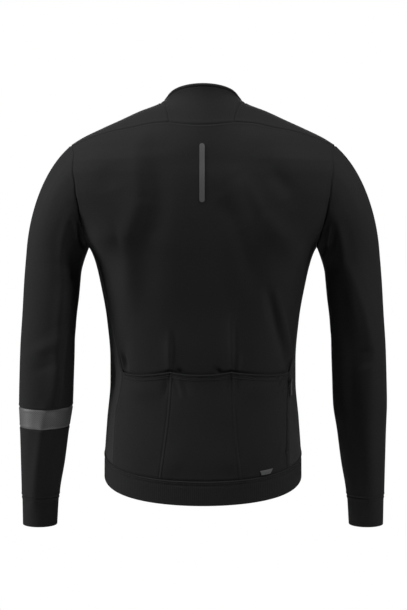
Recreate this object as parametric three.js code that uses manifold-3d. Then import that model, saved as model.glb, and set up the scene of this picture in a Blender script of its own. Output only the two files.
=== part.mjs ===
// Long-sleeved cycling jersey, filled out as it is worn, with no wearer inside.
// Millimetres, +Z up. The wearer faces -Y and has the left arm at +X.
// The origin is the middle of the neck at the height where the collar meets the shoulders.
// The body is one smooth surface of level rings. Its cut pieces are grids on that surface,
// each a closed cloth wall, and the sleeves are tubes that start at the armholes.
import * as THREE from "three";
import Module from "manifold-3d";

const wasm = await Module();
wasm.setup();

// Cloth and seams
const CLOTH = 1.5; // wall of the main cloth
const BAND_CLOTH = 2; // folded elastic of hem band and cuffs
const POCKET_CLOTH = 1.2;
const TAPE_CLOTH = 1; // zip tapes, hem tab and reflective strip
const SEAM_PULL = 0.2; // each piece stops this far short of the seam line
const LAYER_GAP = 0.3; // between a piece and the panel that it lies on

// Levels of the body, from the neck origin down
const MOUTH_Z = -447; // pocket mouths
const HEM_SIDE_Z = -622; // lower edge of the hem band at the sides
const HEM_DROP = 43; // how much lower the back is there, and higher the front
const HEM_BAND = 41; // height of the hem band
const COLLAR_BACK = { y: 56, z: 29 }; // top of the collar at the back and at the front
const COLLAR_FRONT = { y: -63, z: -8 };
const COLLAR_EDGE = 6; // height of the bound edge on the collar
const ZIP_HALF = 5; // half of the gap between the fronts that the zip fills
const ZIP_ROOM = 0.35; // each side of a zip

// Zip sliders: a body on the zip with two posts that hold a pin, and a pull on the pin.
// The pull hangs at a tilt, so that its free end is close to the cloth.
const FRONT_SLIDER = {
  width: 8, length: 11, height: 3, pinWidth: 3.2, pullWidth: 6, pullLength: 24, tilt: 4,
};
const POCKET_SLIDER = {
  width: 5, length: 8, height: 2.2, pinWidth: 2.2, pullWidth: 3.6, pullLength: 22, tilt: 2,
};
const FRONT_SLIDER_Z = -30;
const POCKET_SLIDER_ROW = 5.35; // grid row of the pockets at which the slider sits
const PIN_RADIUS = 0.7;
const EYE_RADIUS = 1.9; // the pull's eye, with its hole a little wider than the pin
const EYE_HOLE = 1;
const PULL_THICK = 1.4;

// Reflective strip down the upper back, and the plain tab at the hem
const STRIP = { x: 1.6, top: -73, bottom: -170, half: 4.3 };
const STRIP_TIP = [
  { in: 0, half: 1.7 },
  { in: 1.4, half: 3.4 },
  { in: 4.2, half: 4.3 },
];
const TAB = { x0: -93.5, x1: -115, rise: 7.5, above: 1.5 };
const SURFACE_ROOM = 0.45; // between such a piece and the cloth's facets

// Body rings: half is the reach to the side and core the share of it that isn't shoulder,
// front and back are the depths, and square makes a ring boxier than an ellipse.
const BODY_RINGS = [
  { z: 60, half: 55, core: 55, front: 53, back: 53, square: 0 },
  { z: 13, half: 58.8, core: 58.8, front: 58, back: 60.5, square: 0 },
  { z: 6.5, half: 63.8, core: 60, front: 59, back: 62.5, square: 0 },
  { z: 0, half: 73.9, core: 61, front: 60, back: 65, square: 0 },
  { z: -13, half: 107.5, core: 64, front: 63, back: 71, square: 0.01 },
  { z: -27, half: 137.8, core: 69, front: 66, back: 77.5, square: 0.02 },
  { z: -40, half: 166.5, core: 76, front: 69, back: 84, square: 0.04 },
  { z: -60, half: 207, core: 97, front: 75, back: 91.5, square: 0.07 },
  { z: -74, half: 226, core: 125, front: 81, back: 96, square: 0.09 },
  { z: -90, half: 238, core: 185, front: 88, back: 100, square: 0.11 },
  { z: -100, half: 243, core: 222, front: 92, back: 102, square: 0.12 },
  { z: -123, half: 252.6, core: 250, front: 102, back: 107, square: 0.12 },
  { z: -150, half: 255, core: 255, front: 111, back: 111, square: 0.12 },
  { z: -178, half: 245, core: 245, front: 117, back: 113.5, square: 0.12 },
  { z: -200, half: 229.5, core: 229.5, front: 120, back: 114.5, square: 0.12 },
  { z: -220, half: 210, core: 210, front: 121, back: 114.5, square: 0.12 },
  { z: -239, half: 191.5, core: 191.5, front: 121, back: 114, square: 0.12 },
  { z: -262, half: 181.5, core: 181.5, front: 119, back: 112, square: 0.12 },
  { z: -296, half: 173, core: 173, front: 115, back: 108.5, square: 0.12 },
  { z: -363, half: 161, core: 161, front: 106.5, back: 101, square: 0.12 },
  { z: -430, half: 155.5, core: 155.5, front: 101, back: 98.5, square: 0.12 },
  { z: -464, half: 155.5, core: 155.5, front: 101, back: 100.5, square: 0.12 },
  { z: -531, half: 161, core: 161, front: 104.5, back: 107, square: 0.12 },
  { z: -598, half: 164.8, core: 164.8, front: 107.5, back: 112.5, square: 0.12 },
  { z: -690, half: 165, core: 165, front: 108, back: 114, square: 0.12 },
];
const SHOULDER_POWER = 2.5; // how thin the shoulders run out from the core

// Armhole: an oval in the angle and the height of the body surface
const ARMHOLE = { bottom: -239, top: -70, halfAngle: 38 };
const UNDERARM_ANGLE = 24; // the side panel's share each side of the armhole's lowest point
const SHOULDER_SEAM_ANGLE = 165; // where the shoulder seam meets it, past the top to the back

// Seams as they show from the back, at x and height z
const SHOULDER_SEAM = [
  { x: 83, z: -37.5 },
  { x: 116, z: -43.5 },
  { x: 154, z: -50 },
  { x: 188, z: -60 },
];
const YOKE_DIP = 5; // the yoke seam hangs this much in the middle
const NECK_FRONT = [
  { angle: -72, z: -58 },
  { angle: -57, z: -46 },
  { angle: -43, z: -31 },
  { angle: -29, z: -17 },
  { angle: -14, z: -6 },
  { angle: 0, z: 1.5 },
];
const NECK_ZIP_Z = -60; // the neck seam's height at the zip
const NECK_BACK_LEFT = [
  { x: 64.2, z: -2.2 },
  { x: 62, z: -8 },
  { x: 58.7, z: -21 },
  { x: 55.9, z: -36 },
];
const NECK_BACK_RIGHT = [
  { x: 60.5, z: -4 },
  { x: 57.8, z: -11 },
  { x: 53.5, z: -23 },
  { x: 50.6, z: -36 },
];
const SIDE_SEAM_LEFT = [
  { z: -610, x: 147.5 },
  { z: -586, x: 147 },
  { z: -523, x: 144 },
  { z: -478, x: 135.5 },
  { z: -457, x: 132.5 },
  { z: -437, x: 137 },
  { z: -371, x: 148.5 },
  { z: -258, x: 176 },
  { z: -232, x: 189.5 },
];
const SIDE_SEAM_RIGHT = [
  { z: -610, x: 141 },
  { z: -587, x: 141 },
  { z: -495, x: 142 },
  { z: -446, x: 145.5 },
  { z: -421, x: 150 },
  { z: -379, x: 155 },
  { z: -338, x: 161.5 },
  { z: -258, x: 177 },
  { z: -232, x: 189.5 },
];
const SIDE_SEAM_FRONT = [
  { z: -600, angle: -25 },
  { z: -451, angle: -23 },
  { z: -330, angle: -17 },
  { z: -232, angle: -15.46 },
];
const DIVIDER_LEFT = [
  { z: -447, x: 54 },
  { z: -505, x: 58 },
  { z: -600, x: 69.5 },
  { z: -625, x: 73 },
];
const DIVIDER_RIGHT = [
  { z: -447, x: -45.5 },
  { z: -545, x: -49.5 },
  { z: -625, x: -57.5 },
];
const MOUTH_DIP = 5.5; // each pocket mouth hangs this much in its middle
const MOUTH_GAPE = 9.5; // and stands this far off the back there
const GAPE_FADE = 95; // the gape is gone this far below the mouth

// Sleeve rings from the armhole down: outer and inner edge as seen from the back, the
// middle's y, the half depth, and how far the ring leans forward in degrees
const SLEEVE_RINGS = [
  { outerX: 295.5, outerZ: -243, innerX: 204.5, innerZ: -287, y: 5, depth: 58, lean: -1 },
  { outerX: 299.5, outerZ: -296, innerX: 207.5, innerZ: -322, y: 8, depth: 53.5, lean: -2 },
  { outerX: 302.5, outerZ: -352, innerX: 212, innerZ: -362, y: 10, depth: 49.5, lean: 0 },
  { outerX: 306, outerZ: -405, innerX: 214.5, innerZ: -407, y: 8, depth: 47.5, lean: 4 },
  { outerX: 308, outerZ: -455, innerX: 216.5, innerZ: -455, y: 3, depth: 46, lean: 7 },
  { outerX: 309.3, outerZ: -504, innerX: 218.6, innerZ: -503, y: -3.5, depth: 44, lean: 7.5 },
  { outerX: 308.2, outerZ: -548, innerX: 225.5, innerZ: -547, y: -9.5, depth: 40.5, lean: 7.5 },
  { outerX: 307.3, outerZ: -600, innerX: 232.8, innerZ: -600, y: -16.5, depth: 36.5, lean: 7.5 },
  { outerX: 306.5, outerZ: -654, innerX: 242, innerZ: -654, y: -23.5, depth: 32, lean: 7.5 },
  { outerX: 306, outerZ: -708, innerX: 245.8, innerZ: -708, y: -30, depth: 29, lean: 7.5 },
];
const BAND_FROM = 6.09; // ring where the reflective band starts, and where it ends
const BAND_TO = 6.86;
const CUFF_FROM = 9.08;
const CUFF_STEP = 1; // the cuff grips this much tighter than the sleeve

// Directions in which the cloth of the sleeve leaves the armhole
const LEAVE_TOP = new THREE.Vector3(0.77, 0, -0.64);
const LEAVE_SIDE = new THREE.Vector3(0.83, 0.02, -0.55);
const LEAVE_BOTTOM = new THREE.Vector3(0.3, 0, -0.95);
const CAP_REACH = 0.32; // how stiffly it keeps that direction, as a share of the way to ring 1

// Largest folds of the body, from x, z to x, z on the back or the front: ridges are
// positive and troughs negative
const BODY_FOLDS = [
  { side: 1, x0: -100, z0: -292, x1: -143, z1: -440, width: 15, height: -4.5 },
  { side: 1, x0: -124, z0: -300, x1: -150, z1: -432, width: 12, height: 3 },
  { side: 1, x0: -44, z0: -345, x1: -49, z1: -447, width: 12, height: 2.6 },
  { side: 1, x0: 57, z0: -395, x1: 55, z1: -447, width: 11, height: 2.2 },
  { side: 1, x0: 2, z0: -125, x1: 2, z1: -430, width: 58, height: -5 },
  { side: 1, x0: 128, z0: -392, x1: 134, z1: -446, width: 12, height: -2.6 },
];
// Largest folds of a sleeve, from angle and ring to angle and ring
const SLEEVE_FOLDS = [
  { angle0: 40, ring0: 0.55, angle1: 62, ring1: 1.05, width: 10, height: -4 },
  { angle0: 62, ring0: 0.5, angle1: 84, ring1: 0.95, width: 10, height: -3 },
  { angle0: 300, ring0: 0.6, angle1: 285, ring1: 1.2, width: 11, height: -3.5 },
  { angle0: 95, ring0: 3.1, angle1: 165, ring1: 3.5, width: 13, height: -3 },
  { angle0: 285, ring0: 3.2, angle1: 345, ring1: 3.7, width: 12, height: -4 },
  { angle0: 280, ring0: 3.9, angle1: 340, ring1: 4.0, width: 11, height: -3 },
];

// Grid counts, shared along every seam so that neighbours meet at the same points
const LOW_ROWS = 6; // hem seam to pocket mouths
const MID_ROWS = 7; // pocket mouths to the underarm
const BACK_ARM_ROWS = 9; // back edge of the armhole
const FRONT_ARM_ROWS = 12;
const UNDERARM_COLUMNS = 4;
const BACK_COLUMNS = 24;
const FRONT_COLUMNS = 8;
const NECK_ROWS = 9; // rows of a front that end at the neck seam
const YOKE_LEFT = 8; // back columns at the yoke's corners and at the pocket dividers
const YOKE_RIGHT = 16;
const DIVIDER_LEFT_COLUMN = 7;
const DIVIDER_RIGHT_COLUMN = 15;
const UNDERARM_ROW = LOW_ROWS + MID_ROWS;
const BACK_ROWS = UNDERARM_ROW + BACK_ARM_ROWS;
const FRONT_ROWS = UNDERARM_ROW + FRONT_ARM_ROWS;

// Colours
const CLOTH_BLACK = { color: 0x1d1d1e, roughness: 0.85, metalness: 0 };
const BAND_BLACK = { color: 0x1b1b1c, roughness: 0.9, metalness: 0 };
const REFLECTIVE_GREY = { color: 0x5b5b5c, roughness: 0.5, metalness: 0.1 };
const ZIP_BLACK = { color: 0x141414, roughness: 0.5, metalness: 0 };
const PULL_GREY = { color: 0x2a2a2b, roughness: 0.35, metalness: 0.3 };

const DEGREE = Math.PI / 180;
const lerp = THREE.MathUtils.lerp;
const smooth = (x) => THREE.MathUtils.smoothstep(x, 0, 1);
const mirrored = (angle) => Math.PI - angle;

// A smooth function through a table's column, with no overshoot between its rows.
function tableCurve(rows, key, column) {
  const sorted = [...rows].sort((a, b) => a[key] - b[key]);
  const x = sorted.map((row) => row[key]);
  const y = sorted.map((row) => row[column]);
  const steps = x.slice(1).map((right, i) => (y[i + 1] - y[i]) / (right - x[i]));
  const slopes = y.map((_, i) => {
    if (i === 0 || i === y.length - 1) return steps[Math.min(i, steps.length - 1)];
    const [a, b] = [steps[i - 1], steps[i]];
    return a * b > 0 ? (2 * a * b) / (a + b) : 0;
  });
  return (at) => {
    let i = 0;
    while (i < x.length - 2 && at > x[i + 1]) i++;
    const width = x[i + 1] - x[i];
    const s = (at - x[i]) / width;
    const rise = y[i + 1] - y[i];
    if (s < 0) return y[i] + slopes[i] * (at - x[i]);
    if (s > 1) return y[i + 1] + slopes[i + 1] * (at - x[i + 1]);
    const bend = ((1 - s) * slopes[i] - s * slopes[i + 1]) * width;
    return y[i] + rise * s * s * (3 - 2 * s) + s * (1 - s) * bend;
  };
}

const ring = {};
for (const column of ["half", "core", "front", "back", "square"]) {
  ring[column] = tableCurve(BODY_RINGS, "z", column);
}

// The body surface before folds. Angle 0 is the left side, and it turns towards the back.
function bodyForm(angle, z) {
  const c = Math.cos(angle);
  const s = Math.sin(angle);
  const core = ring.core(z);
  const square = ring.square(z);
  const depth = s > 0 ? ring.back(z) : ring.front(z);
  const reach = core * Math.abs(c) + (ring.half(z) - core) * Math.abs(c) ** SHOULDER_POWER;
  const x = Math.sign(c) * reach * (1 + square * s * s);
  return new THREE.Vector3(x, depth * s * (1 + square * c * c), z);
}

// The angle at which the body surface has this x, on its back or its front.
function angleAt(side, x, z) {
  let low = 0;
  let high = Math.PI;
  for (let i = 0; i < 40; i++) {
    const middle = (low + high) / 2;
    if (bodyForm(side * middle, z).x > x) low = middle;
    else high = middle;
  }
  return (side * (low + high)) / 2;
}

function normalOf(surface, a, b, stepA, stepB) {
  const alongA = surface(a + stepA, b).sub(surface(a - stepA, b));
  const alongB = surface(a, b + stepB).sub(surface(a, b - stepB));
  return alongA.cross(alongB).normalize();
}

// Height of all folds at a point: each is a soft ridge or trough along its line.
function foldHeight(point, folds) {
  let height = 0;
  for (const fold of folds) {
    const along = new THREE.Line3();
    const nearest = new THREE.Vector3();
    let best = Infinity;
    let share = 0;
    fold.path.slice(1).forEach((end, i) => {
      along.set(fold.path[i], end);
      const part = along.closestPointToPointParameter(point, true);
      const away = along.at(part, nearest).distanceTo(point);
      if (away < best) {
        best = away;
        share = (i + part) / (fold.path.length - 1);
      }
    });
    const taper = Math.sin(Math.PI * lerp(0.12, 0.88, share));
    height += fold.height * taper * Math.exp(-((best / fold.width) ** 2));
  }
  return height;
}

const PATH_STEPS = 4;
const steps = (count) => Array.from({ length: count + 1 }, (_, i) => i / count);

const bodyFolds = BODY_FOLDS.map((fold) => ({
  ...fold,
  path: steps(PATH_STEPS).map((s) => {
    const z = lerp(fold.z0, fold.z1, s);
    return bodyForm(angleAt(fold.side, lerp(fold.x0, fold.x1, s), z), z);
  }),
}));

const ANGLE_STEP = 0.01;
const HEIGHT_STEP = 1.2;

function bodySurface(angle, z) {
  const point = bodyForm(angle, z);
  const height = foldHeight(point, bodyFolds);
  if (Math.abs(height) < 0.01) return point;
  return point.addScaledVector(normalOf(bodyForm, angle, z, ANGLE_STEP, HEIGHT_STEP), height);
}

// A point on the body and its outward normal, moved out by a distance.
function onBody(angle, z, out = 0) {
  const normal = normalOf(bodySurface, angle, z, ANGLE_STEP, HEIGHT_STEP);
  return { point: bodySurface(angle, z).addScaledVector(normal, out), normal };
}

// Edges of the body pieces, as angle and height
const hemLow = (angle) => HEM_SIDE_Z - HEM_DROP * Math.sin(angle);
const hemSeam = (angle) => hemLow(angle) + HEM_BAND;

function collarTop(angle) {
  const slope = (COLLAR_BACK.z - COLLAR_FRONT.z) / (COLLAR_BACK.y - COLLAR_FRONT.y);
  let z = COLLAR_FRONT.z;
  for (let i = 0; i < 12; i++) {
    z = COLLAR_BACK.z + slope * (bodyForm(angle, z).y - COLLAR_BACK.y);
  }
  return z;
}

function armhole(turn) {
  const middle = (ARMHOLE.bottom + ARMHOLE.top) / 2;
  const reach = (ARMHOLE.top - ARMHOLE.bottom) / 2;
  return [ARMHOLE.halfAngle * DEGREE * Math.sin(turn), middle - reach * Math.cos(turn)];
}

const turnsBetween = (from, to, count) =>
  steps(count).map((s) => lerp(from, to, s) * DEGREE);
const UNDERARM_TURNS = turnsBetween(-UNDERARM_ANGLE, UNDERARM_ANGLE, UNDERARM_COLUMNS);
const BACK_TURNS = turnsBetween(UNDERARM_ANGLE, SHOULDER_SEAM_ANGLE, BACK_ARM_ROWS);
const FRONT_TURNS = turnsBetween(360 - UNDERARM_ANGLE, SHOULDER_SEAM_ANGLE, FRONT_ARM_ROWS);
const SLEEVE_TURNS = [
  ...UNDERARM_TURNS.slice(0, -1),
  ...BACK_TURNS,
  ...[...FRONT_TURNS].reverse().slice(1, -1),
];

// Points of a side seam at each row, from the hem seam up to the armhole.
function seamRows(angleOf) {
  let low = HEM_SIDE_Z + HEM_BAND;
  for (let i = 0; i < 12; i++) low = hemSeam(angleOf(low));
  const corner = armhole(UNDERARM_ANGLE * DEGREE)[1];
  return (row) => {
    const z = row <= LOW_ROWS
      ? lerp(low, MOUTH_Z, row / LOW_ROWS)
      : lerp(MOUTH_Z, corner, (row - LOW_ROWS) / MID_ROWS);
    return [angleOf(z), z];
  };
}

function backSeamAngle(table) {
  const x = tableCurve(table, "z", "x");
  const corner = armhole(UNDERARM_ANGLE * DEGREE);
  return (z) => lerp(
    angleAt(1, x(z), z), corner[0], THREE.MathUtils.smoothstep(z, corner[1] - 30, corner[1]),
  );
}

const frontSeamDegrees = tableCurve(SIDE_SEAM_FRONT, "z", "angle");
const leftBackSeam = seamRows(backSeamAngle(SIDE_SEAM_LEFT));
const rightBackSeam = seamRows(backSeamAngle(SIDE_SEAM_RIGHT));
const frontSeam = seamRows((z) => frontSeamDegrees(z) * DEGREE);

const backEdge = (seam) => (row) =>
  row <= UNDERARM_ROW ? seam(row) : armhole(BACK_TURNS[row - UNDERARM_ROW]);
const frontEdge = (row) =>
  row <= UNDERARM_ROW ? frontSeam(row) : armhole(FRONT_TURNS[row - UNDERARM_ROW]);

// The neck seam of one side, from the zip round to the yoke's corner at the back.
const ANGLE_SCALE = 70; // an angle counts as an arc of this radius along the neck seam

function neckSeam(backKnots) {
  const knots = [
    [angleAt(-1, ZIP_HALF, NECK_ZIP_Z), NECK_ZIP_Z],
    ...NECK_FRONT.map(({ angle, z }) => [angle * DEGREE, z]),
    ...backKnots.map(({ x, z }) => [angleAt(1, x, z), z]),
  ];
  const curve = new THREE.CatmullRomCurve3(
    knots.map(([angle, z]) => new THREE.Vector3(angle * ANGLE_SCALE, z, 0)),
  );
  return steps(NECK_ROWS).map((s) => {
    const at = curve.getPointAt(s);
    return [at.x / ANGLE_SCALE, at.y];
  });
}

const leftNeck = neckSeam(NECK_BACK_LEFT);
const rightNeck = neckSeam(NECK_BACK_RIGHT);

// Shoulder seams run from a yoke corner to the armhole, and the yoke seam between them.
const shoulderCorner = armhole(SHOULDER_SEAM_ANGLE * DEGREE);
const shoulderEnd = { x: bodyForm(...shoulderCorner).x, z: shoulderCorner[1] };
const leftYoke = NECK_BACK_LEFT.at(-1);
const rightYoke = NECK_BACK_RIGHT.at(-1);

function shoulderSeam(yoke) {
  const height = tableCurve([yoke, ...SHOULDER_SEAM, shoulderEnd], "x", "z");
  return (share) => {
    const x = lerp(yoke.x, shoulderEnd.x, share);
    return [angleAt(1, x, height(x)), height(x)];
  };
}

const leftShoulder = shoulderSeam(leftYoke);
const rightShoulder = shoulderSeam(rightYoke);

function backTop(column) {
  if (column <= YOKE_LEFT) return leftShoulder(1 - column / YOKE_LEFT);
  if (column >= YOKE_RIGHT) {
    const [angle, z] = rightShoulder((column - YOKE_RIGHT) / (BACK_COLUMNS - YOKE_RIGHT));
    return [mirrored(angle), z];
  }
  const share = (column - YOKE_LEFT) / (YOKE_RIGHT - YOKE_LEFT);
  const z = leftYoke.z - YOKE_DIP * Math.sin(Math.PI * share);
  return [angleAt(1, lerp(leftYoke.x, -rightYoke.x, share), z), z];
}

// A row of the back from the hem seam to the pocket mouths, through the pocket dividers.
const leftDivider = tableCurve(DIVIDER_LEFT, "z", "x");
const rightDivider = tableCurve(DIVIDER_RIGHT, "z", "x");

function pocketRow(row) {
  const start = leftBackSeam(row)[0];
  const end = mirrored(rightBackSeam(row)[0]);
  return (column) => {
    const height = (angle) => lerp(hemSeam(angle), mouthHeight(column), row / LOW_ROWS);
    const near = height(lerp(start, end, column / BACK_COLUMNS));
    const left = angleAt(1, leftDivider(near), near);
    const right = angleAt(1, rightDivider(near), near);
    const part = (from, to, a, b) => lerp(a, b, (column - from) / (to - from));
    let angle = part(DIVIDER_LEFT_COLUMN, DIVIDER_RIGHT_COLUMN, left, right);
    if (column < DIVIDER_LEFT_COLUMN) angle = part(0, DIVIDER_LEFT_COLUMN, start, left);
    if (column > DIVIDER_RIGHT_COLUMN) {
      angle = part(DIVIDER_RIGHT_COLUMN, BACK_COLUMNS, right, end);
    }
    return [angle, height(angle)];
  };
}

const mouthHeight = (column) =>
  MOUTH_Z - MOUTH_DIP * Math.sin(Math.PI * pocketShare(column)) ** 0.8;

// How far along its own pocket a column is, from 0 at one side to 1 at the other.
function pocketShare(column) {
  const bounds = [0, DIVIDER_LEFT_COLUMN, DIVIDER_RIGHT_COLUMN, BACK_COLUMNS];
  const i = Math.max(0, bounds.findIndex((b, k) => column <= bounds[k + 1]));
  return (column - bounds[i]) / (bounds[i + 1] - bounds[i]);
}

// A grid between two edges. Each key row says where the cloth runs at that row, and the
// rows between take a share of both.
function gridBetween(startEdge, endEdge, columns, keyRows) {
  const bow = (key, column) => {
    const at = key.at(column);
    const start = startEdge(key.row);
    const end = endEdge(key.row);
    const share = column / columns;
    return [0, 1].map((k) => at[k] - lerp(start[k], end[k], share));
  };
  return (column, row) => {
    const next = Math.max(1, keyRows.findIndex((key) => row <= key.row));
    const [low, high] = [keyRows[next - 1], keyRows[next]];
    const share = (row - low.row) / (high.row - low.row);
    const [lowBow, highBow] = [bow(low, column), bow(high, column)];
    const [start, end] = [startEdge(row), endEdge(row)];
    return [0, 1].map((k) =>
      lerp(start[k], end[k], column / columns) + lerp(lowBow[k], highBow[k], smooth(share)));
  };
}

const straightRow = (row, startEdge, endEdge, columns) => ({
  row,
  at: (column) => {
    const [start, end] = [startEdge(row), endEdge(row)];
    return [0, 1].map((k) => lerp(start[k], end[k], column / columns));
  },
});

const material = (look) => new THREE.MeshStandardMaterial(look);
const jersey = new THREE.Group();

function meshOf(name, positions, faces, look) {
  let volume = 0;
  for (const [a, b, c] of faces) {
    volume += positions[a].dot(new THREE.Vector3().crossVectors(positions[b], positions[c]));
  }
  const index = faces.flatMap(([a, b, c]) => (volume > 0 ? [a, b, c] : [a, c, b]));
  const geometry = new THREE.BufferGeometry()
    .setAttribute("position", new THREE.Float32BufferAttribute(
      positions.flatMap((p) => p.toArray()), 3))
    .setIndex(index);
  geometry.computeVertexNormals();
  const mesh = new THREE.Mesh(geometry, material(look));
  mesh.name = name;
  return mesh;
}

// A closed cloth wall over a grid: at(column, row) gives an outer point and its normal.
// A piece that goes all the way round has no side rims.
function clothWall(name, columns, rows, at, thickness, look, round = false) {
  const across = round ? columns : columns + 1;
  const grid = [];
  for (let row = 0; row <= rows; row++) {
    for (let column = 0; column < across; column++) {
      const { point, normal, inward } = at(column, row);
      const step = (inward ?? normal).clone().multiplyScalar(-thickness);
      grid.push([point.clone(), point.clone().add(step)]);
    }
  }
  const cell = (column, row) => row * across + (column % across);
  const outerAt = (column, row) => grid[cell(column, row)][0];
  // Away from the edge along the cloth, square to the line through the edge's neighbours.
  const pull = (column, row, nextColumn, nextRow) => {
    const sideways = nextColumn === column;
    const before = sideways ? [column - 1, row] : [column, row - 1];
    const after = sideways ? [column + 1, row] : [column, row + 1];
    const keep = ([c, r]) => [
      round ? (c + columns) % columns : THREE.MathUtils.clamp(c, 0, columns),
      THREE.MathUtils.clamp(r, 0, rows),
    ];
    const line = outerAt(...keep(after)).clone().sub(outerAt(...keep(before))).normalize();
    const move = outerAt(nextColumn, nextRow).clone().sub(outerAt(column, row));
    move.addScaledVector(line, -move.dot(line)).setLength(SEAM_PULL);
    return [grid[cell(column, row)], move];
  };
  const moves = [];
  for (let column = 0; column < across; column++) {
    moves.push(pull(column, 0, column, 1), pull(column, rows, column, rows - 1));
  }
  for (let row = 0; !round && row <= rows; row++) {
    moves.push(pull(0, row, 1, row), pull(columns, row, columns - 1, row));
  }
  for (const [edge, move] of moves) edge.forEach((point) => point.add(move));

  const positions = grid.flat();
  const faces = [];
  const quad = (a, b, c, d) => faces.push([a, b, c], [a, c, d]);
  const outer = (column, row) => 2 * cell(column, row);
  const inner = (column, row) => outer(column, row) + 1;
  for (let row = 0; row < rows; row++) {
    for (let column = 0; column < columns; column++) {
      const corners = [[column, row], [column + 1, row], [column + 1, row + 1], [column, row + 1]];
      quad(...corners.map((corner) => outer(...corner)));
      quad(...corners.reverse().map((corner) => inner(...corner)));
    }
  }
  for (let column = 0; column < columns; column++) {
    quad(outer(column, 0), inner(column, 0), inner(column + 1, 0), outer(column + 1, 0));
    quad(outer(column, rows), outer(column + 1, rows), inner(column + 1, rows), inner(column, rows));
  }
  for (let row = 0; !round && row < rows; row++) {
    quad(outer(0, row), outer(0, row + 1), inner(0, row + 1), inner(0, row));
    quad(outer(columns, row), inner(columns, row), inner(columns, row + 1), outer(columns, row + 1));
  }
  const mesh = meshOf(name, positions, faces, look);
  jersey.add(mesh);
  return mesh;
}

// Back panel. Under the pockets it lies deeper, so that the pockets are level with the sides.
const UNDER_POCKET = POCKET_CLOTH + LAYER_GAP;
const leftEdge = backEdge(leftBackSeam);
const rightEdge = (row) => {
  const [angle, z] = backEdge(rightBackSeam)(row);
  return [mirrored(angle), z];
};
const backGrid = gridBetween(leftEdge, rightEdge, BACK_COLUMNS, [
  ...steps(LOW_ROWS).map((s) => ({ row: s * LOW_ROWS, at: pocketRow(s * LOW_ROWS) })),
  straightRow(UNDERARM_ROW, leftEdge, rightEdge, BACK_COLUMNS),
  { row: BACK_ROWS, at: backTop },
]);

function backPoint(column, row, out = 0) {
  const [angle, z] = backGrid(column, row);
  const sunk = UNDER_POCKET * (1 - smooth((row - LOW_ROWS) / 1.5));
  return onBody(angle, z, out - sunk);
}

function addBack() {
  return clothWall("back", BACK_COLUMNS, BACK_ROWS, backPoint, CLOTH, CLOTH_BLACK);
}

// Pockets: three walls on the back panel's own points, moved out. The mouths stand open.
const POCKET_ZIP_SHARE = 0.6; // of the last column, where a zip takes the place of the pocket

function addPockets() {
  const pockets = [
    { name: "pocket_left", from: 0, to: DIVIDER_LEFT_COLUMN },
    { name: "pocket_centre", from: DIVIDER_LEFT_COLUMN, to: DIVIDER_RIGHT_COLUMN },
    { name: "pocket_right", from: DIVIDER_RIGHT_COLUMN, to: BACK_COLUMNS },
  ];
  const made = pockets.map((pocket) => {
    const last = pocket.to - pocket.from;
    const point = (column, row) => {
      const shifted = pocket.to === BACK_COLUMNS && column === last ? POCKET_ZIP_SHARE : 0;
      const share = (column - shifted) / last;
      const below = (1 - row / LOW_ROWS) * (MOUTH_Z - HEM_SIDE_Z);
      const fade = Math.max(0, 1 - below / GAPE_FADE) ** 1.6;
      const gape = MOUTH_GAPE * fade * Math.sin(Math.PI * share) ** 1.1;
      return backPoint(pocket.from + column - shifted, row, LAYER_GAP + POCKET_CLOTH + gape);
    };
    return clothWall(pocket.name, last, LOW_ROWS, point, POCKET_CLOTH, CLOTH_BLACK);
  });
  return made[2];
}

// Side panels, from the front seam to the back seam.
function addSide(name, backSeam, side) {
  const top = (column) => armhole(UNDERARM_TURNS[column]);
  const hem = (column) => {
    const angle = lerp(frontSeam(0)[0], backSeam(0)[0], column / UNDERARM_COLUMNS);
    return [angle, hemSeam(angle)];
  };
  const grid = gridBetween(frontSeam, backSeam, UNDERARM_COLUMNS, [
    { row: 0, at: hem },
    straightRow(LOW_ROWS, frontSeam, backSeam, UNDERARM_COLUMNS),
    straightRow(UNDERARM_ROW - 3, frontSeam, backSeam, UNDERARM_COLUMNS),
    { row: UNDERARM_ROW, at: top },
  ]);
  clothWall(name, UNDERARM_COLUMNS, UNDERARM_ROW, (column, row) => {
    const [angle, z] = grid(column, row);
    return onBody(side > 0 ? angle : mirrored(angle), z);
  }, CLOTH, CLOTH_BLACK);
}

// Fronts: each runs from its side seam to the zip, and over the shoulder to the back.
const zipEdge = (neck) => (row) => {
  const low = hemSeam(-Math.PI / 2);
  const corner = FRONT_ROWS - NECK_ROWS;
  if (row > corner) return neck[row - corner];
  const z = lerp(low, neck[0][1], row / corner);
  return [angleAt(-1, ZIP_HALF, z), z];
};
const zipCorner = zipEdge(leftNeck)(0);

function addFront(name, side, neck, shoulder) {
  const innerEdge = zipEdge(neck);
  const hem = (column) => {
    const angle = lerp(frontSeam(0)[0], zipCorner[0], column / FRONT_COLUMNS);
    return [angle, hemSeam(angle)];
  };
  const grid = gridBetween(frontEdge, innerEdge, FRONT_COLUMNS, [
    { row: 0, at: hem },
    straightRow(LOW_ROWS, frontEdge, innerEdge, FRONT_COLUMNS),
    straightRow(FRONT_ROWS - NECK_ROWS, frontEdge, innerEdge, FRONT_COLUMNS),
    { row: FRONT_ROWS, at: (column) => shoulder(1 - column / FRONT_COLUMNS) },
  ]);
  clothWall(name, FRONT_COLUMNS, FRONT_ROWS, (column, row) => {
    const [angle, z] = grid(column, row);
    return onBody(side > 0 ? angle : mirrored(angle), z);
  }, CLOTH, CLOTH_BLACK);
}

// Collar with its back yoke in one piece, and the bound edge along its top.
const neckLine = [
  ...leftNeck,
  ...steps(YOKE_RIGHT - YOKE_LEFT).slice(1, -1)
    .map((s) => backTop(lerp(YOKE_LEFT, YOKE_RIGHT, s))),
  ...[...rightNeck].reverse().map(([angle, z]) => [mirrored(angle), z]),
];
const COLLAR_ROWS = 4;

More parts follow.
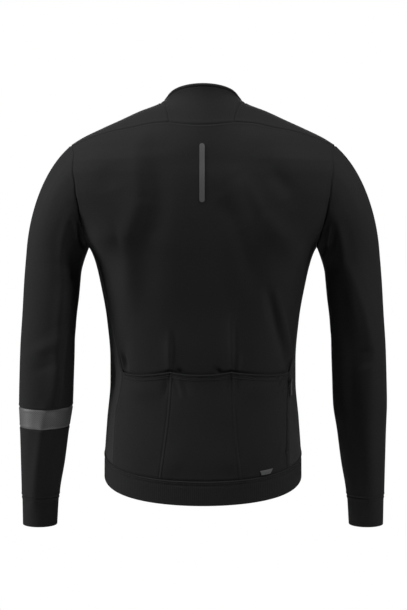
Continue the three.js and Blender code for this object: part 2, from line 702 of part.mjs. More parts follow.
function addCollar() {
  const columns = neckLine.length - 1;
  const edgeOf = (angle) => collarTop(angle) - COLLAR_EDGE;
  const angleOf = (column, z) => {
    if (column === 0) return angleAt(-1, ZIP_HALF, z);
    if (column === columns) return mirrored(angleAt(-1, ZIP_HALF, z)) + 2 * Math.PI;
    return neckLine[column][0];
  };
  clothWall("collar", columns, COLLAR_ROWS, (column, row) => {
    const [start, z0] = neckLine[column];
    const z = lerp(z0, edgeOf(start), row / COLLAR_ROWS);
    return onBody(angleOf(column, z), z);
  }, CLOTH, CLOTH_BLACK);
  clothWall("collar_edge", columns, 1, (column, row) => {
    const [start] = neckLine[column];
    const z = edgeOf(start) + row * COLLAR_EDGE;
    return onBody(angleOf(column, z), z, 0.4 * row);
  }, CLOTH + 0.4, BAND_BLACK);
}

// Hem band, from one side of the zip round the back to the other.
const HEM_ROWS = 2;

function addHemBand() {
  const left = steps(FRONT_COLUMNS).map((s) => lerp(zipCorner[0], frontSeam(0)[0], s));
  const sideLeft = steps(UNDERARM_COLUMNS)
    .map((s) => lerp(frontSeam(0)[0], leftBackSeam(0)[0], s));
  const back = steps(BACK_COLUMNS).map((s) => pocketRow(0)(s * BACK_COLUMNS)[0]);
  const sideRight = steps(UNDERARM_COLUMNS)
    .map((s) => mirrored(lerp(rightBackSeam(0)[0], frontSeam(0)[0], s)));
  const right = [...left].reverse().map(mirrored);
  const angles = [left, sideLeft, back, sideRight, right]
    .flatMap((part, i) => (i ? part.slice(1) : part));
  clothWall("hem_band", angles.length - 1, HEM_ROWS, (column, row) => {
    const z = hemSeam(angles[column]) - (row / HEM_ROWS) * HEM_BAND;
    const end = column === 0 || column === angles.length - 1;
    const zipAngle = angleAt(-1, ZIP_HALF, z);
    const angle = end ? (column ? mirrored(zipAngle) : zipAngle) : angles[column];
    return onBody(angle, z);
  }, BAND_CLOTH, BAND_BLACK);
}

// Sleeve surface: ring 0 is the armhole, ring 1 the first row of the table.
const sleeveCurve = {};
const sleeveRows = SLEEVE_RINGS.map((row, i) => ({ ...row, ring: i + 1 }));
for (const column of ["outerX", "outerZ", "innerX", "innerZ", "y", "depth", "lean"]) {
  sleeveCurve[column] = tableCurve(sleeveRows, "ring", column);
}

function tubePoint(turn, at) {
  const value = (column) => sleeveCurve[column](at);
  const outer = new THREE.Vector3(value("outerX"), value("y"), value("outerZ"));
  const inner = new THREE.Vector3(value("innerX"), value("y"), value("innerZ"));
  const lean = value("lean") * DEGREE;
  const backward = new THREE.Vector3(0, Math.cos(lean), -Math.sin(lean));
  return inner.lerp(outer, (1 - Math.cos(turn)) / 2)
    .addScaledVector(backward, Math.sin(turn) * value("depth"));
}

// The cap runs from the armhole to ring 1 on one cubic for each angle.
function capPoint(turn, at) {
  const start = bodyForm(...armhole(turn));
  const end = tubePoint(turn, 1);
  const up = -Math.cos(turn);
  const leave = LEAVE_SIDE.clone();
  leave.y *= Math.sign(Math.sin(turn));
  leave.lerp(up > 0 ? LEAVE_TOP : LEAVE_BOTTOM, Math.abs(up)).normalize();
  const arrive = tubePoint(turn, 1.1).sub(end).normalize();
  const reach = start.distanceTo(end) * CAP_REACH;
  const curve = new THREE.CubicBezierCurve3(
    start,
    start.clone().addScaledVector(leave, reach),
    end.clone().addScaledVector(arrive, -reach),
    end,
  );
  return at < 0 ? start.addScaledVector(leave, at * reach) : curve.getPoint(at);
}

const sleeveForm = (turn, at) => (at < 1 ? capPoint(turn, at) : tubePoint(turn, at));

const sleeveFolds = SLEEVE_FOLDS.map((fold) => ({
  ...fold,
  path: steps(PATH_STEPS).map((s) => sleeveForm(
    lerp(fold.angle0, fold.angle1, s) * DEGREE, lerp(fold.ring0, fold.ring1, s),
  )),
}));

function sleeveSurface(turn, at) {
  const point = sleeveForm(turn, at);
  const height = foldHeight(point, sleeveFolds) * smooth(at / 0.5);
  if (Math.abs(height) < 0.01) return point;
  return point.addScaledVector(normalOf(sleeveForm, turn, at, 0.02, 0.02), height);
}

const SEAM_ROOM = 0.35; // between the armhole and the first row of the sleeve

function onSleeve(turn, at, side, tighter = 0) {
  const normal = normalOf(sleeveSurface, turn, at + (at === 0 ? 0.02 : 0), 0.02, 0.02);
  const point = sleeveSurface(turn, at).addScaledVector(normal, -tighter);
  let inward = normal;
  if (at === 0) {
    const body = normalOf(bodySurface, ...armhole(turn), ANGLE_STEP, HEIGHT_STEP);
    const away = sleeveSurface(turn, 0.02).sub(sleeveSurface(turn, 0)).normalize();
    point.addScaledVector(away, SEAM_ROOM);
    if (body.dot(away) < 0) inward = body;
  }
  const flip = new THREE.Vector3(side, 1, 1);
  return {
    point: point.multiply(flip),
    normal: normal.clone().multiply(flip),
    inward: inward.clone().multiply(flip),
  };
}

const CAP_ROWS = [0, 0.08, 0.18, 0.3, 0.43, 0.57, 0.71, 0.86];
const rowsBetween = (from, to, count) => steps(count).map((s) => lerp(from, to, s));
const UPPER_ROWS = rowsBetween(1, BAND_FROM, 8);
const BAND_ROWS = rowsBetween(BAND_FROM, BAND_TO, 2);
const LOWER_ROWS = rowsBetween(BAND_TO, CUFF_FROM, 4);
const CUFF_ROWS = rowsBetween(CUFF_FROM, SLEEVE_RINGS.length, 2);

function addSleevePiece(name, side, rows, thickness, look, tighter = 0) {
  clothWall(name, SLEEVE_TURNS.length, rows.length - 1, (column, row) =>
    onSleeve(SLEEVE_TURNS[column % SLEEVE_TURNS.length], rows[row], side, tighter),
  thickness, look, true);
}

function addSleeves() {
  const upper = [...CAP_ROWS, ...UPPER_ROWS];
  addSleevePiece("sleeve_left_upper", 1, upper, CLOTH, CLOTH_BLACK);
  addSleevePiece("sleeve_left_band", 1, BAND_ROWS, CLOTH, REFLECTIVE_GREY);
  addSleevePiece("sleeve_left_lower", 1, LOWER_ROWS, CLOTH, CLOTH_BLACK);
  addSleevePiece("cuff_left", 1, CUFF_ROWS, BAND_CLOTH, BAND_BLACK, CUFF_STEP);
  const whole = [...upper, ...BAND_ROWS.slice(1), ...LOWER_ROWS.slice(1)];
  addSleevePiece("sleeve_right", -1, whole, CLOTH, CLOTH_BLACK);
  addSleevePiece("cuff_right", -1, CUFF_ROWS, BAND_CLOTH, BAND_BLACK, CUFF_STEP);
}

// Zip strips. The front zip closes the gap between the fronts, collar ends and band ends.
const FRONT_ZIP_ROWS = 26;
const frontAngle = -Math.PI / 2;

function addZips() {
  const low = hemLow(frontAngle);
  const high = collarTop(frontAngle);
  const half = ZIP_HALF - ZIP_ROOM;
  const frontZip = clothWall("front_zip", 2, FRONT_ZIP_ROWS, (column, row) => {
    const z = lerp(low, high, row / FRONT_ZIP_ROWS);
    return onBody(angleAt(-1, lerp(-half, half, column / 2), z), z, -0.2);
  }, TAPE_CLOTH, ZIP_BLACK);
  clothWall("pocket_zip", 1, LOW_ROWS, (column, row) =>
    backPoint(BACK_COLUMNS - (1 - column) * POCKET_ZIP_SHARE, row, LAYER_GAP + TAPE_CLOTH),
  TAPE_CLOTH, ZIP_BLACK);
  return frontZip;
}

// The facet that a level line from straight behind or in front meets, moved out.
function onMesh(mesh, side, x, z, out) {
  const from = new THREE.Vector3(x, side * 500, z);
  const [hit] = new THREE.Raycaster(from, new THREE.Vector3(0, -side, 0)).intersectObject(mesh);
  return { point: hit.point.addScaledVector(hit.face.normal, out), normal: hit.face.normal };
}

function addStrip(back) {
  const { top, bottom, half } = STRIP;
  const body = steps(11).slice(1, -1).map((s) => ({ z: lerp(top, bottom, s), half }));
  const rows = [
    ...STRIP_TIP.map((tip) => ({ z: top - tip.in, half: tip.half })),
    ...body,
    ...[...STRIP_TIP].reverse().map((tip) => ({ z: bottom + tip.in, half: tip.half })),
  ];
  clothWall("reflective_strip", 2, rows.length - 1, (column, row) => {
    const x = STRIP.x + (column - 1) * rows[row].half;
    return onMesh(back, 1, x, rows[row].z, SURFACE_ROOM + TAPE_CLOTH);
  }, TAPE_CLOTH, REFLECTIVE_GREY);
}

function addTab(pocket) {
  clothWall("hem_tab", 4, 1, (column, row) => {
    const x = lerp(TAB.x0, TAB.x1, column / 4);
    const z = hemSeam(angleAt(1, x, HEM_SIDE_Z)) + TAB.above + row * TAB.rise;
    return onMesh(pocket, 1, x, z, SURFACE_ROOM + TAPE_CLOTH);
  }, TAPE_CLOTH, REFLECTIVE_GREY);
}

// A mesh from a manifold-3d solid, set in the frame whose y axis points away from the cloth.
function placeSolid(name, solid, place, look) {
  const { vertProperties, triVerts, numProp } = solid.getMesh();
  const positions = [];
  for (let i = 0; i < vertProperties.length; i += numProp) {
    positions.push(new THREE.Vector3(...vertProperties.slice(i, i + 3)).applyMatrix4(place));
  }
  const faces = [];
  for (let i = 0; i < triVerts.length; i += 3) faces.push([...triVerts.slice(i, i + 3)]);
  jersey.add(meshOf(name, positions, faces, look));
}

// A block with rounded corners in plan: x across the zip, y away from the cloth, z along it.
function roundedBlock(width, height, length, corner) {
  const inner = [width / 2 - corner, length / 2 - corner];
  const outline = [];
  for (const [sx, sz, from] of [[1, 1, 0], [-1, 1, 90], [-1, -1, 180], [1, -1, 270]]) {
    for (const turn of [0, 45, 90]) {
      const angle = (from + turn) * DEGREE;
      outline.push([
        sx * inner[0] + corner * Math.cos(angle),
        sz * inner[1] + corner * Math.sin(angle),
      ]);
    }
  }
  return wasm.Manifold.extrude([outline], height).rotate([-90, 0, 0]).scale([1, 1, -1]);
}

const acrossCylinder = (radius, width) =>
  wasm.Manifold.cylinder(width, radius, radius, 16, true).rotate([0, 90, 0]);

function addSlider(name, size, origin, away) {
  const across = new THREE.Vector3(0, 0, 1).cross(away).negate().normalize();
  const along = new THREE.Vector3().crossVectors(across, away).normalize();
  const base = new THREE.Matrix4().makeBasis(across, away, along).setPosition(origin);
  const pinY = size.height + EYE_RADIUS + 0.35;
  const pinZ = size.length / 2 - EYE_RADIUS;
  const post = wasm.Manifold.cube([1, pinY + 1.3 - size.height + 0.5, 2 * EYE_RADIUS], true);
  const postY = size.height - 0.5 + (pinY + 1.3 - size.height + 0.5) / 2;
  const postX = size.pinWidth / 2 + 0.3 + 0.5;
  const slider = wasm.Manifold.union([
    roundedBlock(size.width, size.height, size.length, 1.6),
    post.translate([postX, postY, pinZ]),
    post.translate([-postX, postY, pinZ]),
    acrossCylinder(PIN_RADIUS, 2 * postX).translate([0, pinY, pinZ]),
  ]);
  placeSolid(`${name}_slider`, slider, base, ZIP_BLACK);

  const neckLength = EYE_RADIUS + 2.5;
  const plate = roundedBlock(size.pullWidth, PULL_THICK, size.pullLength, size.pullWidth / 2.4)
    .translate([0, -PULL_THICK / 2, -neckLength - size.pullLength / 2 + 1.5]);
  const neck = wasm.Manifold.cube([size.pinWidth, PULL_THICK, neckLength], true)
    .translate([0, 0, -neckLength / 2]);
  const pull = wasm.Manifold.union([acrossCylinder(EYE_RADIUS, size.pinWidth), plate, neck])
    .subtract(acrossCylinder(EYE_HOLE, 2 * size.pinWidth));
  const hang = new THREE.Matrix4().makeTranslation(0, pinY, pinZ)
    .multiply(new THREE.Matrix4().makeRotationX(-size.tilt * DEGREE));
  placeSolid(`${name}_pull`, pull, base.clone().multiply(hang), PULL_GREY);
  return { pin: new THREE.Vector3(0, pinY, pinZ).applyMatrix4(base), axis: across };
}

const back = addBack();
const pocketRight = addPockets();
addSide("side_left", leftBackSeam, 1);
addSide("side_right", rightBackSeam, -1);
addFront("front_left", 1, leftNeck, leftShoulder);
addFront("front_right", -1, rightNeck, rightShoulder);
addCollar();
addHemBand();
addSleeves();
const frontZip = addZips();
addStrip(back);
addTab(pocketRight);

const frontSeat = onMesh(frontZip, -1, 0.01, FRONT_SLIDER_Z, 2 * LAYER_GAP);
frontSeat.normal.setX(0).normalize();
addSlider("front_zip", FRONT_SLIDER, frontSeat.point, frontSeat.normal);
const pocketSeat = backPoint(
  BACK_COLUMNS - POCKET_ZIP_SHARE / 2, POCKET_SLIDER_ROW, TAPE_CLOTH + 3 * LAYER_GAP,
);
addSlider("pocket_zip", POCKET_SLIDER, pocketSeat.point, pocketSeat.normal);

export default jersey;
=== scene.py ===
"""A long-sleeved cycling jersey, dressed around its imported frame, as a Blender 4.5 add-on."""

import math

import bmesh
import bpy
import numpy as np
from bpy.props import FloatProperty, FloatVectorProperty, PointerProperty
from mathutils import Matrix, Vector


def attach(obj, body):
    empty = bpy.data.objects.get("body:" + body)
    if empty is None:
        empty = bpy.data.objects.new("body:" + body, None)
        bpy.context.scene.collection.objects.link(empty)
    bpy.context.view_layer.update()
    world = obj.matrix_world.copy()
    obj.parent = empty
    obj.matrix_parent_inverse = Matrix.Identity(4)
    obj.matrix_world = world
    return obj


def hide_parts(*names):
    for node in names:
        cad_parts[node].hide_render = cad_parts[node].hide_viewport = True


bl_info = {
    "name": "Cycling Jersey",
    "version": (1, 0, 0),
    "blender": (4, 5, 0),
    "location": "View3D > Sidebar > Jersey",
    "description": "Builds a filled-out cycling jersey, piece by piece",
    "category": "Add Mesh",
}

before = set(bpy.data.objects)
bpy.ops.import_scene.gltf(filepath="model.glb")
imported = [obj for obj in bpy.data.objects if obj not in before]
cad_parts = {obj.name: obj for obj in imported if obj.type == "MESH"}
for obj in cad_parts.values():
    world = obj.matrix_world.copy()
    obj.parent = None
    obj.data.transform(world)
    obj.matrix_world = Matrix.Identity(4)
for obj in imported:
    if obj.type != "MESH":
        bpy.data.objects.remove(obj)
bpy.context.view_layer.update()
BODY = "jersey"

# All sizes below are in millimetres and degrees, as the cut was drawn. Meshes are in metres.
MM = 0.001
DEGREE = math.pi / 180
POCKET_WALL = 1.2
LAYER_GAP = 0.3
MOUTH_Z = -447
HEM_SIDE_Z = -622
HEM_DROP = 43
HEM_BAND = 41
COLLAR_BACK = (56, 29)
COLLAR_FRONT = (-63, -8)
COLLAR_EDGE = 6
ZIP_HALF = 5
ZIP_ROOM = 0.35
SHOULDER_POWER = 2.5

# Body rings: height, reach to the side, the share of it that isn't shoulder, depth in front
# and behind, and how much boxier than an ellipse
RING_COLUMNS = ("z", "half", "core", "front", "back", "square")
BODY_RINGS = (
    (60, 55, 55, 53, 53, 0),
    (13, 58.8, 58.8, 58, 60.5, 0),
    (6.5, 63.8, 60, 59, 62.5, 0),
    (0, 73.9, 61, 60, 65, 0),
    (-13, 107.5, 64, 63, 71, 0.01),
    (-27, 137.8, 69, 66, 77.5, 0.02),
    (-40, 166.5, 76, 69, 84, 0.04),
    (-60, 207, 97, 75, 91.5, 0.07),
    (-74, 226, 125, 81, 96, 0.09),
    (-90, 238, 185, 88, 100, 0.11),
    (-100, 243, 222, 92, 102, 0.12),
    (-123, 252.6, 250, 102, 107, 0.12),
    (-150, 255, 255, 111, 111, 0.12),
    (-178, 245, 245, 117, 113.5, 0.12),
    (-200, 229.5, 229.5, 120, 114.5, 0.12),
    (-220, 210, 210, 121, 114.5, 0.12),
    (-239, 191.5, 191.5, 121, 114, 0.12),
    (-262, 181.5, 181.5, 119, 112, 0.12),
    (-296, 173, 173, 115, 108.5, 0.12),
    (-363, 161, 161, 106.5, 101, 0.12),
    (-430, 155.5, 155.5, 101, 98.5, 0.12),
    (-464, 155.5, 155.5, 101, 100.5, 0.12),
    (-531, 161, 161, 104.5, 107, 0.12),
    (-598, 164.8, 164.8, 107.5, 112.5, 0.12),
    (-690, 165, 165, 108, 114, 0.12),
)

# Armhole: an oval in angle and height, and where the seams meet it, as turns from its foot
ARM_BOTTOM, ARM_TOP, ARM_HALF = -239, -70, 38
UNDERARM_TURN = 24
SHOULDER_TURN = 165

# Seams: x and height on the back, or angle and height
SHOULDER_SEAM = ((83, -37.5), (116, -43.5), (154, -50), (188, -60))
YOKE_DIP = 5
NECK_ZIP_Z = -60
NECK_FRONT = ((-72, -58), (-57, -46), (-43, -31), (-29, -17), (-14, -6), (0, 1.5))
NECK_BACK = {
    1: ((64.2, -2.2), (62, -8), (58.7, -21), (55.9, -36)),
    -1: ((60.5, -4), (57.8, -11), (53.5, -23), (50.6, -36)),
}
SIDE_SEAM = {
    1: (
        (-610, 147.5), (-586, 147), (-523, 144), (-478, 135.5), (-457, 132.5),
        (-437, 137), (-371, 148.5), (-258, 176), (-232, 189.5),
    ),
    -1: (
        (-610, 141), (-587, 141), (-495, 142), (-446, 145.5), (-421, 150),
        (-379, 155), (-338, 161.5), (-258, 177), (-232, 189.5),
    ),
}
SIDE_SEAM_FRONT = ((-600, -25), (-451, -23), (-330, -17), (-232, -15.46))
DIVIDER_LEFT = ((-447, 54), (-505, 58), (-600, 69.5), (-625, 73))
DIVIDER_RIGHT = ((-447, -45.5), (-545, -49.5), (-625, -57.5))
MOUTH_DIP = 5.5
GAPE_FADE = 95
POCKET_ZIP_SHARE = 0.6

# Sleeve rings: outer and inner edge, the middle's y, the half depth and the lean
SLEEVE_COLUMNS = ("outer_x", "outer_z", "inner_x", "inner_z", "y", "depth", "lean")
SLEEVE_RINGS = (
    (295.5, -243, 204.5, -287, 5, 58, -1),
    (299.5, -296, 207.5, -322, 8, 53.5, -2),
    (302.5, -352, 212, -362, 10, 49.5, 0),
    (306, -405, 214.5, -407, 8, 47.5, 4),
    (308, -455, 216.5, -455, 3, 46, 7),
    (309.3, -504, 218.6, -503, -3.5, 44, 7.5),
    (308.2, -548, 225.5, -547, -9.5, 40.5, 7.5),
    (307.3, -600, 232.8, -600, -16.5, 36.5, 7.5),
    (306.5, -654, 242, -654, -23.5, 32, 7.5),
    (306, -708, 245.8, -708, -30, 29, 7.5),
)
BAND_FROM, BAND_TO, CUFF_FROM, CUFF_TO = 6.07, 6.84, 9.08, 10
CUFF_STEP = 1
LEAVE_TOP = (0.77, 0, -0.64)
LEAVE_SIDE = (0.83, 0.02, -0.55)
LEAVE_BOTTOM = (0.3, 0, -0.95)
CAP_REACH = 0.32

# Folds: side, from x and height to x and height, width, and rise (troughs are negative)
LARGE_FOLDS = (
    (1, 2, -125, 2, -430, 58, -5),
    (1, 57, -395, 55, -447, 11, 2.2),
    (1, -44, -345, -49, -447, 12, 2.6),
    (1, 128, -392, 134, -446, 12, -2.6),
    (1, -60, -585, -40, -612, 30, 2.0),
    (1, 70, -585, 40, -612, 30, 2.0),
)
# The hollow between the shoulder blades, with its edges, and a dimple on each blade
BACK_RELIEF = (
    (1, 112, -84, 100, -165, 17, 4.0),
    (1, 102, -160, 126, -240, 18, 4.6),
    (1, 126, -232, 120, -330, 18, 4.4),
    (1, 76, -90, 76, -205, 22, -3.8),
    (1, 78, -175, 94, -240, 24, -3.4),
    (1, 94, -232, 90, -330, 24, -3.2),
    (1, 186, -234, 138, -228, 26, 9.5),
    (1, -58, -126, -92, -190, 17, 5.0),
    (1, -92, -196, -156, -252, 22, 6.5),
    (1, -32, -160, -62, -215, 20, -4.6),
    (1, -60, -200, -84, -305, 19, -5.0),
    (1, 160, -108, 148, -150, 20, -2.6),
    (1, -112, -112, -146, -160, 16, -4.2),
    (1, 122, -72, 80, -60, 22, 2.6),
    (1, -60, -62, -112, -72, 22, 2.6),
)
# Creases that pull towards the side seam, the pocket dividers and the pocket zip
FINE_CREASES = (
    (1, -106, -314, -140, -440, 9, -6.0),
    (1, -120, -320, -148, -428, 6, 4.0),
    (1, -122, -330, -147, -428, 4, -1.2),
    (1, 56, -385, 55, -446, 4.5, 1.9),
    (1, 49, -380, 50, -446, 5, -1.7),
    (1, -46, -358, -48, -446, 3.6, 2.4),
    (1, -52, -372, -52, -446, 3.6, -1.9),
    (1, -60, -418, -57, -446, 3.2, 2.1),
    (1, 47, -460, 38, -484, 3.4, -1.9),
    (1, 34, -462, 25, -482, 4, -1.5),
    (1, 42, -458, 32, -490, 4, 1.5),
    (1, 59, -458, 62, -486, 4, -1.7),
    (1, -56, -455, -58, -486, 3.6, -1.8),
    (1, -43, -456, -38, -478, 4, -1.2),
    (1, -132, -456, -120, -476, 3, -1.9),
    (1, -138, -458, -127, -485, 3, -1.9),
    (1, -135, -457, -123, -480, 2.6, 1.6),
    (1, -128, -454, -114, -474, 3, 1.4),
    (1, -130, -596, -139, -572, 4, -2.6),
    (1, -123, -590, -131, -566, 4.5, 1.9),
)
# Hollows of the back panel above the corners of the pocket mouths, and one of the left side
MOUTH_HOLLOWS = (
    (1, 134, -418, 128, -445, 5, -5),
    (1, -147, -430, -142, -446, 4, -4),
    (1, 42, -443, 33, -450, 4, -2.6),
    (1, -22, -443, -32, -450, 4, -2.6),
)
SIDE_NOTCH = (1, 149, -432, 150, -482, 8, -5)
# Folds of both sleeves: from angle and ring to angle and ring, width and rise
SLEEVE_FOLDS = (
    (300, 0.6, 285, 1.2, 11, -3.5),
    (285, 3.2, 345, 3.7, 12, -4),
    (280, 3.9, 340, 4.0, 11, -3),
)
# Creases of the left (1) and right (-1) sleeve: a swelling beside the armhole, a long crest down
# the inner back with a hollow inside it, then the short folds at the armpit and the elbow
ARM_CREASES = {
    1: (
        (82, 0.1, 66, 0.2, 15, 2.4),
        (82, 1.0, 74, 3.4, 20, 4),
        (74, 3.3, 76, 6.0, 18, 4),
        (76, 0.3, 64, 1.5, 8, 4),
        (64, 1.4, 63, 3.6, 10, 8),
        (63, 3.5, 68, 6.0, 11, 9),
        (86, 5.9, 108, 9.3, 9, 4),
        (48, 0.6, 32, 1.5, 10, -4),
        (32, 1.4, 27, 3.4, 11, -4),
        (27, 3.3, 46, 6.0, 12, -5),
        (67, 0.14, 50, 0.27, 3.4, 4),
        (58, 0.06, 26, 0.22, 5, -6),
        (62, 3.75, 120, 4.2, 11, 3.4),
        (62, 4.4, 120, 4.8, 8, -1.6),
    ),
    -1: (
        (80, 0.1, 66, 0.2, 15, 2.4),
        (72, 0.3, 68, 1.2, 8, 4.5),
        (74, 1.1, 112, 4.2, 9, 6),
        (86, 1.1, 122, 4.3, 20, 6.5),
        (104, 4.3, 104, 6.2, 18, 6),
        (104, 6.1, 98, 9, 15, 5),
        (50, 1.2, 78, 4.3, 22, -9),
        (74, 4.2, 70, 6, 19, -8),
        (70, 6, 64, 9, 16, -5.5),
        (57, 0.18, 42, 0.36, 3.4, 4),
        (52, 0.05, 22, 0.4, 5, -6),
        (66, 0.27, 46, 0.55, 4.5, -4),
        (92, 4.2, 114, 4.0, 6, -3.2),
        (86, 4.8, 118, 4.5, 7, 3.5),
    ),
}

# Index units of the cut pieces, shared along every seam
LOW_ROWS, MID_ROWS, BACK_ARM_ROWS, FRONT_ARM_ROWS = 6, 7, 9, 12
UNDERARM_COLUMNS, BACK_COLUMNS, FRONT_COLUMNS, NECK_ROWS = 4, 24, 8, 9
YOKE_LEFT, YOKE_RIGHT, DIVIDER_A, DIVIDER_B = 8, 16, 7, 15
UNDERARM_ROW = LOW_ROWS + MID_ROWS
BACK_ROWS = UNDERARM_ROW + BACK_ARM_ROWS
FRONT_ROWS = UNDERARM_ROW + FRONT_ARM_ROWS
# Width and height of one index unit on each piece, in millimetres
BACK_CELL = (15.5, 27)
POCKET_CELL = (13, 29)
SIDE_CELL = (24, 27)
FRONT_CELL = (20, 24)
COLLAR_CELL = (560, 40)
# Width of a column beside a pocket divider, and length of a sleeve's cap, ring and cuff units
DIVIDER_CELL = 14.5
CAP_CELL, RING_CELL, CUFF_CELL = 185, 51, 54


def lerp(a, b, share):
    return a + (b - a) * share


def smooth(x):
    x = np.clip(x, 0, 1)
    return x * x * (3 - 2 * x)


def bell(x, middle, width):
    return np.exp(-(((x - middle) / width) ** 2))


def mirrored(angle):
    return math.pi - angle


def curve_through(pairs):
    """A smooth function through (x, y) pairs, with no overshoot between them."""
    x, y = np.array(sorted(pairs), float).T
    steps = np.diff(y) / np.diff(x)
    slopes = np.concatenate([steps[:1], np.zeros(len(x) - 2), steps[-1:]])
    before, after = steps[:-1], steps[1:]
    same = before * after > 0
    slopes[1:-1][same] = 2 * before[same] * after[same] / (before[same] + after[same])

    def at(t):
        t = np.asarray(t, float)
        i = np.clip(np.searchsorted(x, t) - 1, 0, len(x) - 2)
        width = x[i + 1] - x[i]
        s = (t - x[i]) / width
        c = np.clip(s, 0, 1)
        value = y[i] + (y[i + 1] - y[i]) * c * c * (3 - 2 * c)
        value = value + c * (1 - c) * ((1 - c) * slopes[i] - c * slopes[i + 1]) * width
        value = value + np.minimum(s, 0) * width * slopes[i]
        return value + np.maximum(s - 1, 0) * width * slopes[i + 1]

    return at


RING = {
    column: curve_through([(row[0], row[i]) for row in BODY_RINGS])
    for i, column in enumerate(RING_COLUMNS)
    if i
}
SLEEVE = {
    column: curve_through([(ring + 1, row[i]) for ring, row in enumerate(SLEEVE_RINGS)])
    for i, column in enumerate(SLEEVE_COLUMNS)
}


def body_form(angle, z):
    """The body before its folds. Angle 0 is the left side, and it turns towards the back."""
    c, s = np.cos(angle), np.sin(angle)
    core, square = RING["core"](z), RING["square"](z)
    depth = np.where(s > 0, RING["back"](z), RING["front"](z))
    reach = core * np.abs(c) + (RING["half"](z) - core) * np.abs(c) ** SHOULDER_POWER
    x = np.sign(c) * reach * (1 + square * s * s)
    return np.stack(np.broadcast_arrays(x, depth * s * (1 + square * c * c), z), -1)


def angle_at(side, x, z):
    """The angle at which the body has this x, on its back (1) or its front (-1)."""
    x, z = np.broadcast_arrays(np.asarray(x, float), np.asarray(z, float))
    low, high = np.zeros(x.shape), np.full(x.shape, math.pi)
    for _ in range(36):
        middle = (low + high) / 2
        beyond = body_form(side * middle, z)[..., 0] > x
        low, high = np.where(beyond, middle, low), np.where(beyond, high, middle)
    return side * (low + high) / 2


def unit(v):
    return v / np.maximum(np.linalg.norm(v, axis=-1, keepdims=True), 1e-12)


def normal_of(surface, a, b, step_a, step_b):
    along_a = surface(a + step_a, b) - surface(a - step_a, b)
    along_b = surface(a, b + step_b) - surface(a, b - step_b)
    return unit(np.cross(along_a, along_b))


def fold_height(points, folds):
    """Height of all folds: each is a soft ridge or trough along its own line."""
    height = np.zeros(points.shape[:-1])
    for path, width, rise in folds:
        best = np.full(height.shape, np.inf)
        share = np.zeros(height.shape)
        for i in range(len(path) - 1):
            line = path[i + 1] - path[i]
            part = np.clip((points - path[i]) @ line / (line @ line), 0, 1)
            away = np.linalg.norm(points - path[i] - part[..., None] * line, axis=-1)
            nearer = away < best
            best = np.where(nearer, away, best)
            share = np.where(nearer, (i + part) / (len(path) - 1), share)
        taper = np.sin(math.pi * lerp(0.12, 0.88, share))
        height += rise * taper * bell(best, 0, width)
    return height


def body_fold(side, x0, z0, x1, z1, width, rise):
    s = np.linspace(0, 1, 5)
    z = lerp(z0, z1, s)
    return body_form(angle_at(side, lerp(x0, x1, s), z), z), width, rise


BODY_CREASES = [body_fold(*row) for row in (*LARGE_FOLDS, *BACK_RELIEF, *FINE_CREASES)]
PANEL_CREASES = BODY_CREASES + [body_fold(*row) for row in MOUTH_HOLLOWS]
LEFT_CREASES = BODY_CREASES + [body_fold(*SIDE_NOTCH)]


def on_body(angle, z, out=0.0, creases=BODY_CREASES):
    """Points of the folded body moved out along its normal, and the normals."""
    angle, z = np.broadcast_arrays(np.asarray(angle, float), np.asarray(z, float))

    def surface(angle, z):
        point = body_form(angle, z)
        height = fold_height(point, creases)
        return point + normal_of(body_form, angle, z, 0.01, 1.2) * height[..., None]

    normal = normal_of(surface, angle, z, 0.006, 0.6)
    return surface(angle, z) + normal * np.asarray(out)[..., None], normal


def hem_low(angle):
    return HEM_SIDE_Z - HEM_DROP * np.sin(angle)


def hem_seam(angle):
    return hem_low(angle) + HEM_BAND


def collar_top(angle):
    slope = (COLLAR_BACK[1] - COLLAR_FRONT[1]) / (COLLAR_BACK[0] - COLLAR_FRONT[0])
    z = np.full(np.shape(angle), float(COLLAR_FRONT[1]))
    for _ in range(12):
        z = COLLAR_BACK[1] + slope * (body_form(angle, z)[..., 1] - COLLAR_BACK[0])
    return z


def armhole(turn):
    middle, reach = (ARM_BOTTOM + ARM_TOP) / 2, (ARM_TOP - ARM_BOTTOM) / 2
    return ARM_HALF * DEGREE * np.sin(turn), middle - reach * np.cos(turn)


ARM_CORNER = armhole(UNDERARM_TURN * DEGREE)


def seam_rows(angle_of):
    """A side seam by its row, from the hem seam up to the armhole."""
    low = HEM_SIDE_Z + HEM_BAND
    for _ in range(12):
        low = float(hem_seam(angle_of(low)))

    def at(row):
        below = lerp(low, MOUTH_Z, row / LOW_ROWS)
        above = lerp(MOUTH_Z, ARM_CORNER[1], (row - LOW_ROWS) / MID_ROWS)
        z = np.where(row <= LOW_ROWS, below, above)
        return angle_of(z), z

    return at


def back_seam_angle(table):
    across = curve_through(table)

    def at(z):
        near = smooth((np.asarray(z) - ARM_CORNER[1] + 30) / 30)
        return lerp(angle_at(1, across(z), z), ARM_CORNER[0], near)

    return at


BACK_SEAM = {side: seam_rows(back_seam_angle(table)) for side, table in SIDE_SEAM.items()}
FRONT_DEGREES = curve_through(SIDE_SEAM_FRONT)
FRONT_SEAM = seam_rows(lambda z: FRONT_DEGREES(z) * DEGREE)


def with_armhole(seam, first_turn, rows):
    """An edge that follows a side seam and then the armhole, by its row."""

    def at(row):
        row = np.asarray(row, float)
        share = np.clip((row - UNDERARM_ROW) / rows, 0, 1)
        on_arm = armhole(lerp(first_turn, SHOULDER_TURN, share) * DEGREE)
        on_side = seam(np.minimum(row, UNDERARM_ROW))
        low = row <= UNDERARM_ROW
        return tuple(np.where(low, a, b) for a, b in zip(on_side, on_arm))

    return at


def mirror_edge(edge):
    def at(row):
        angle, z = edge(row)
        return mirrored(angle), z

    return at


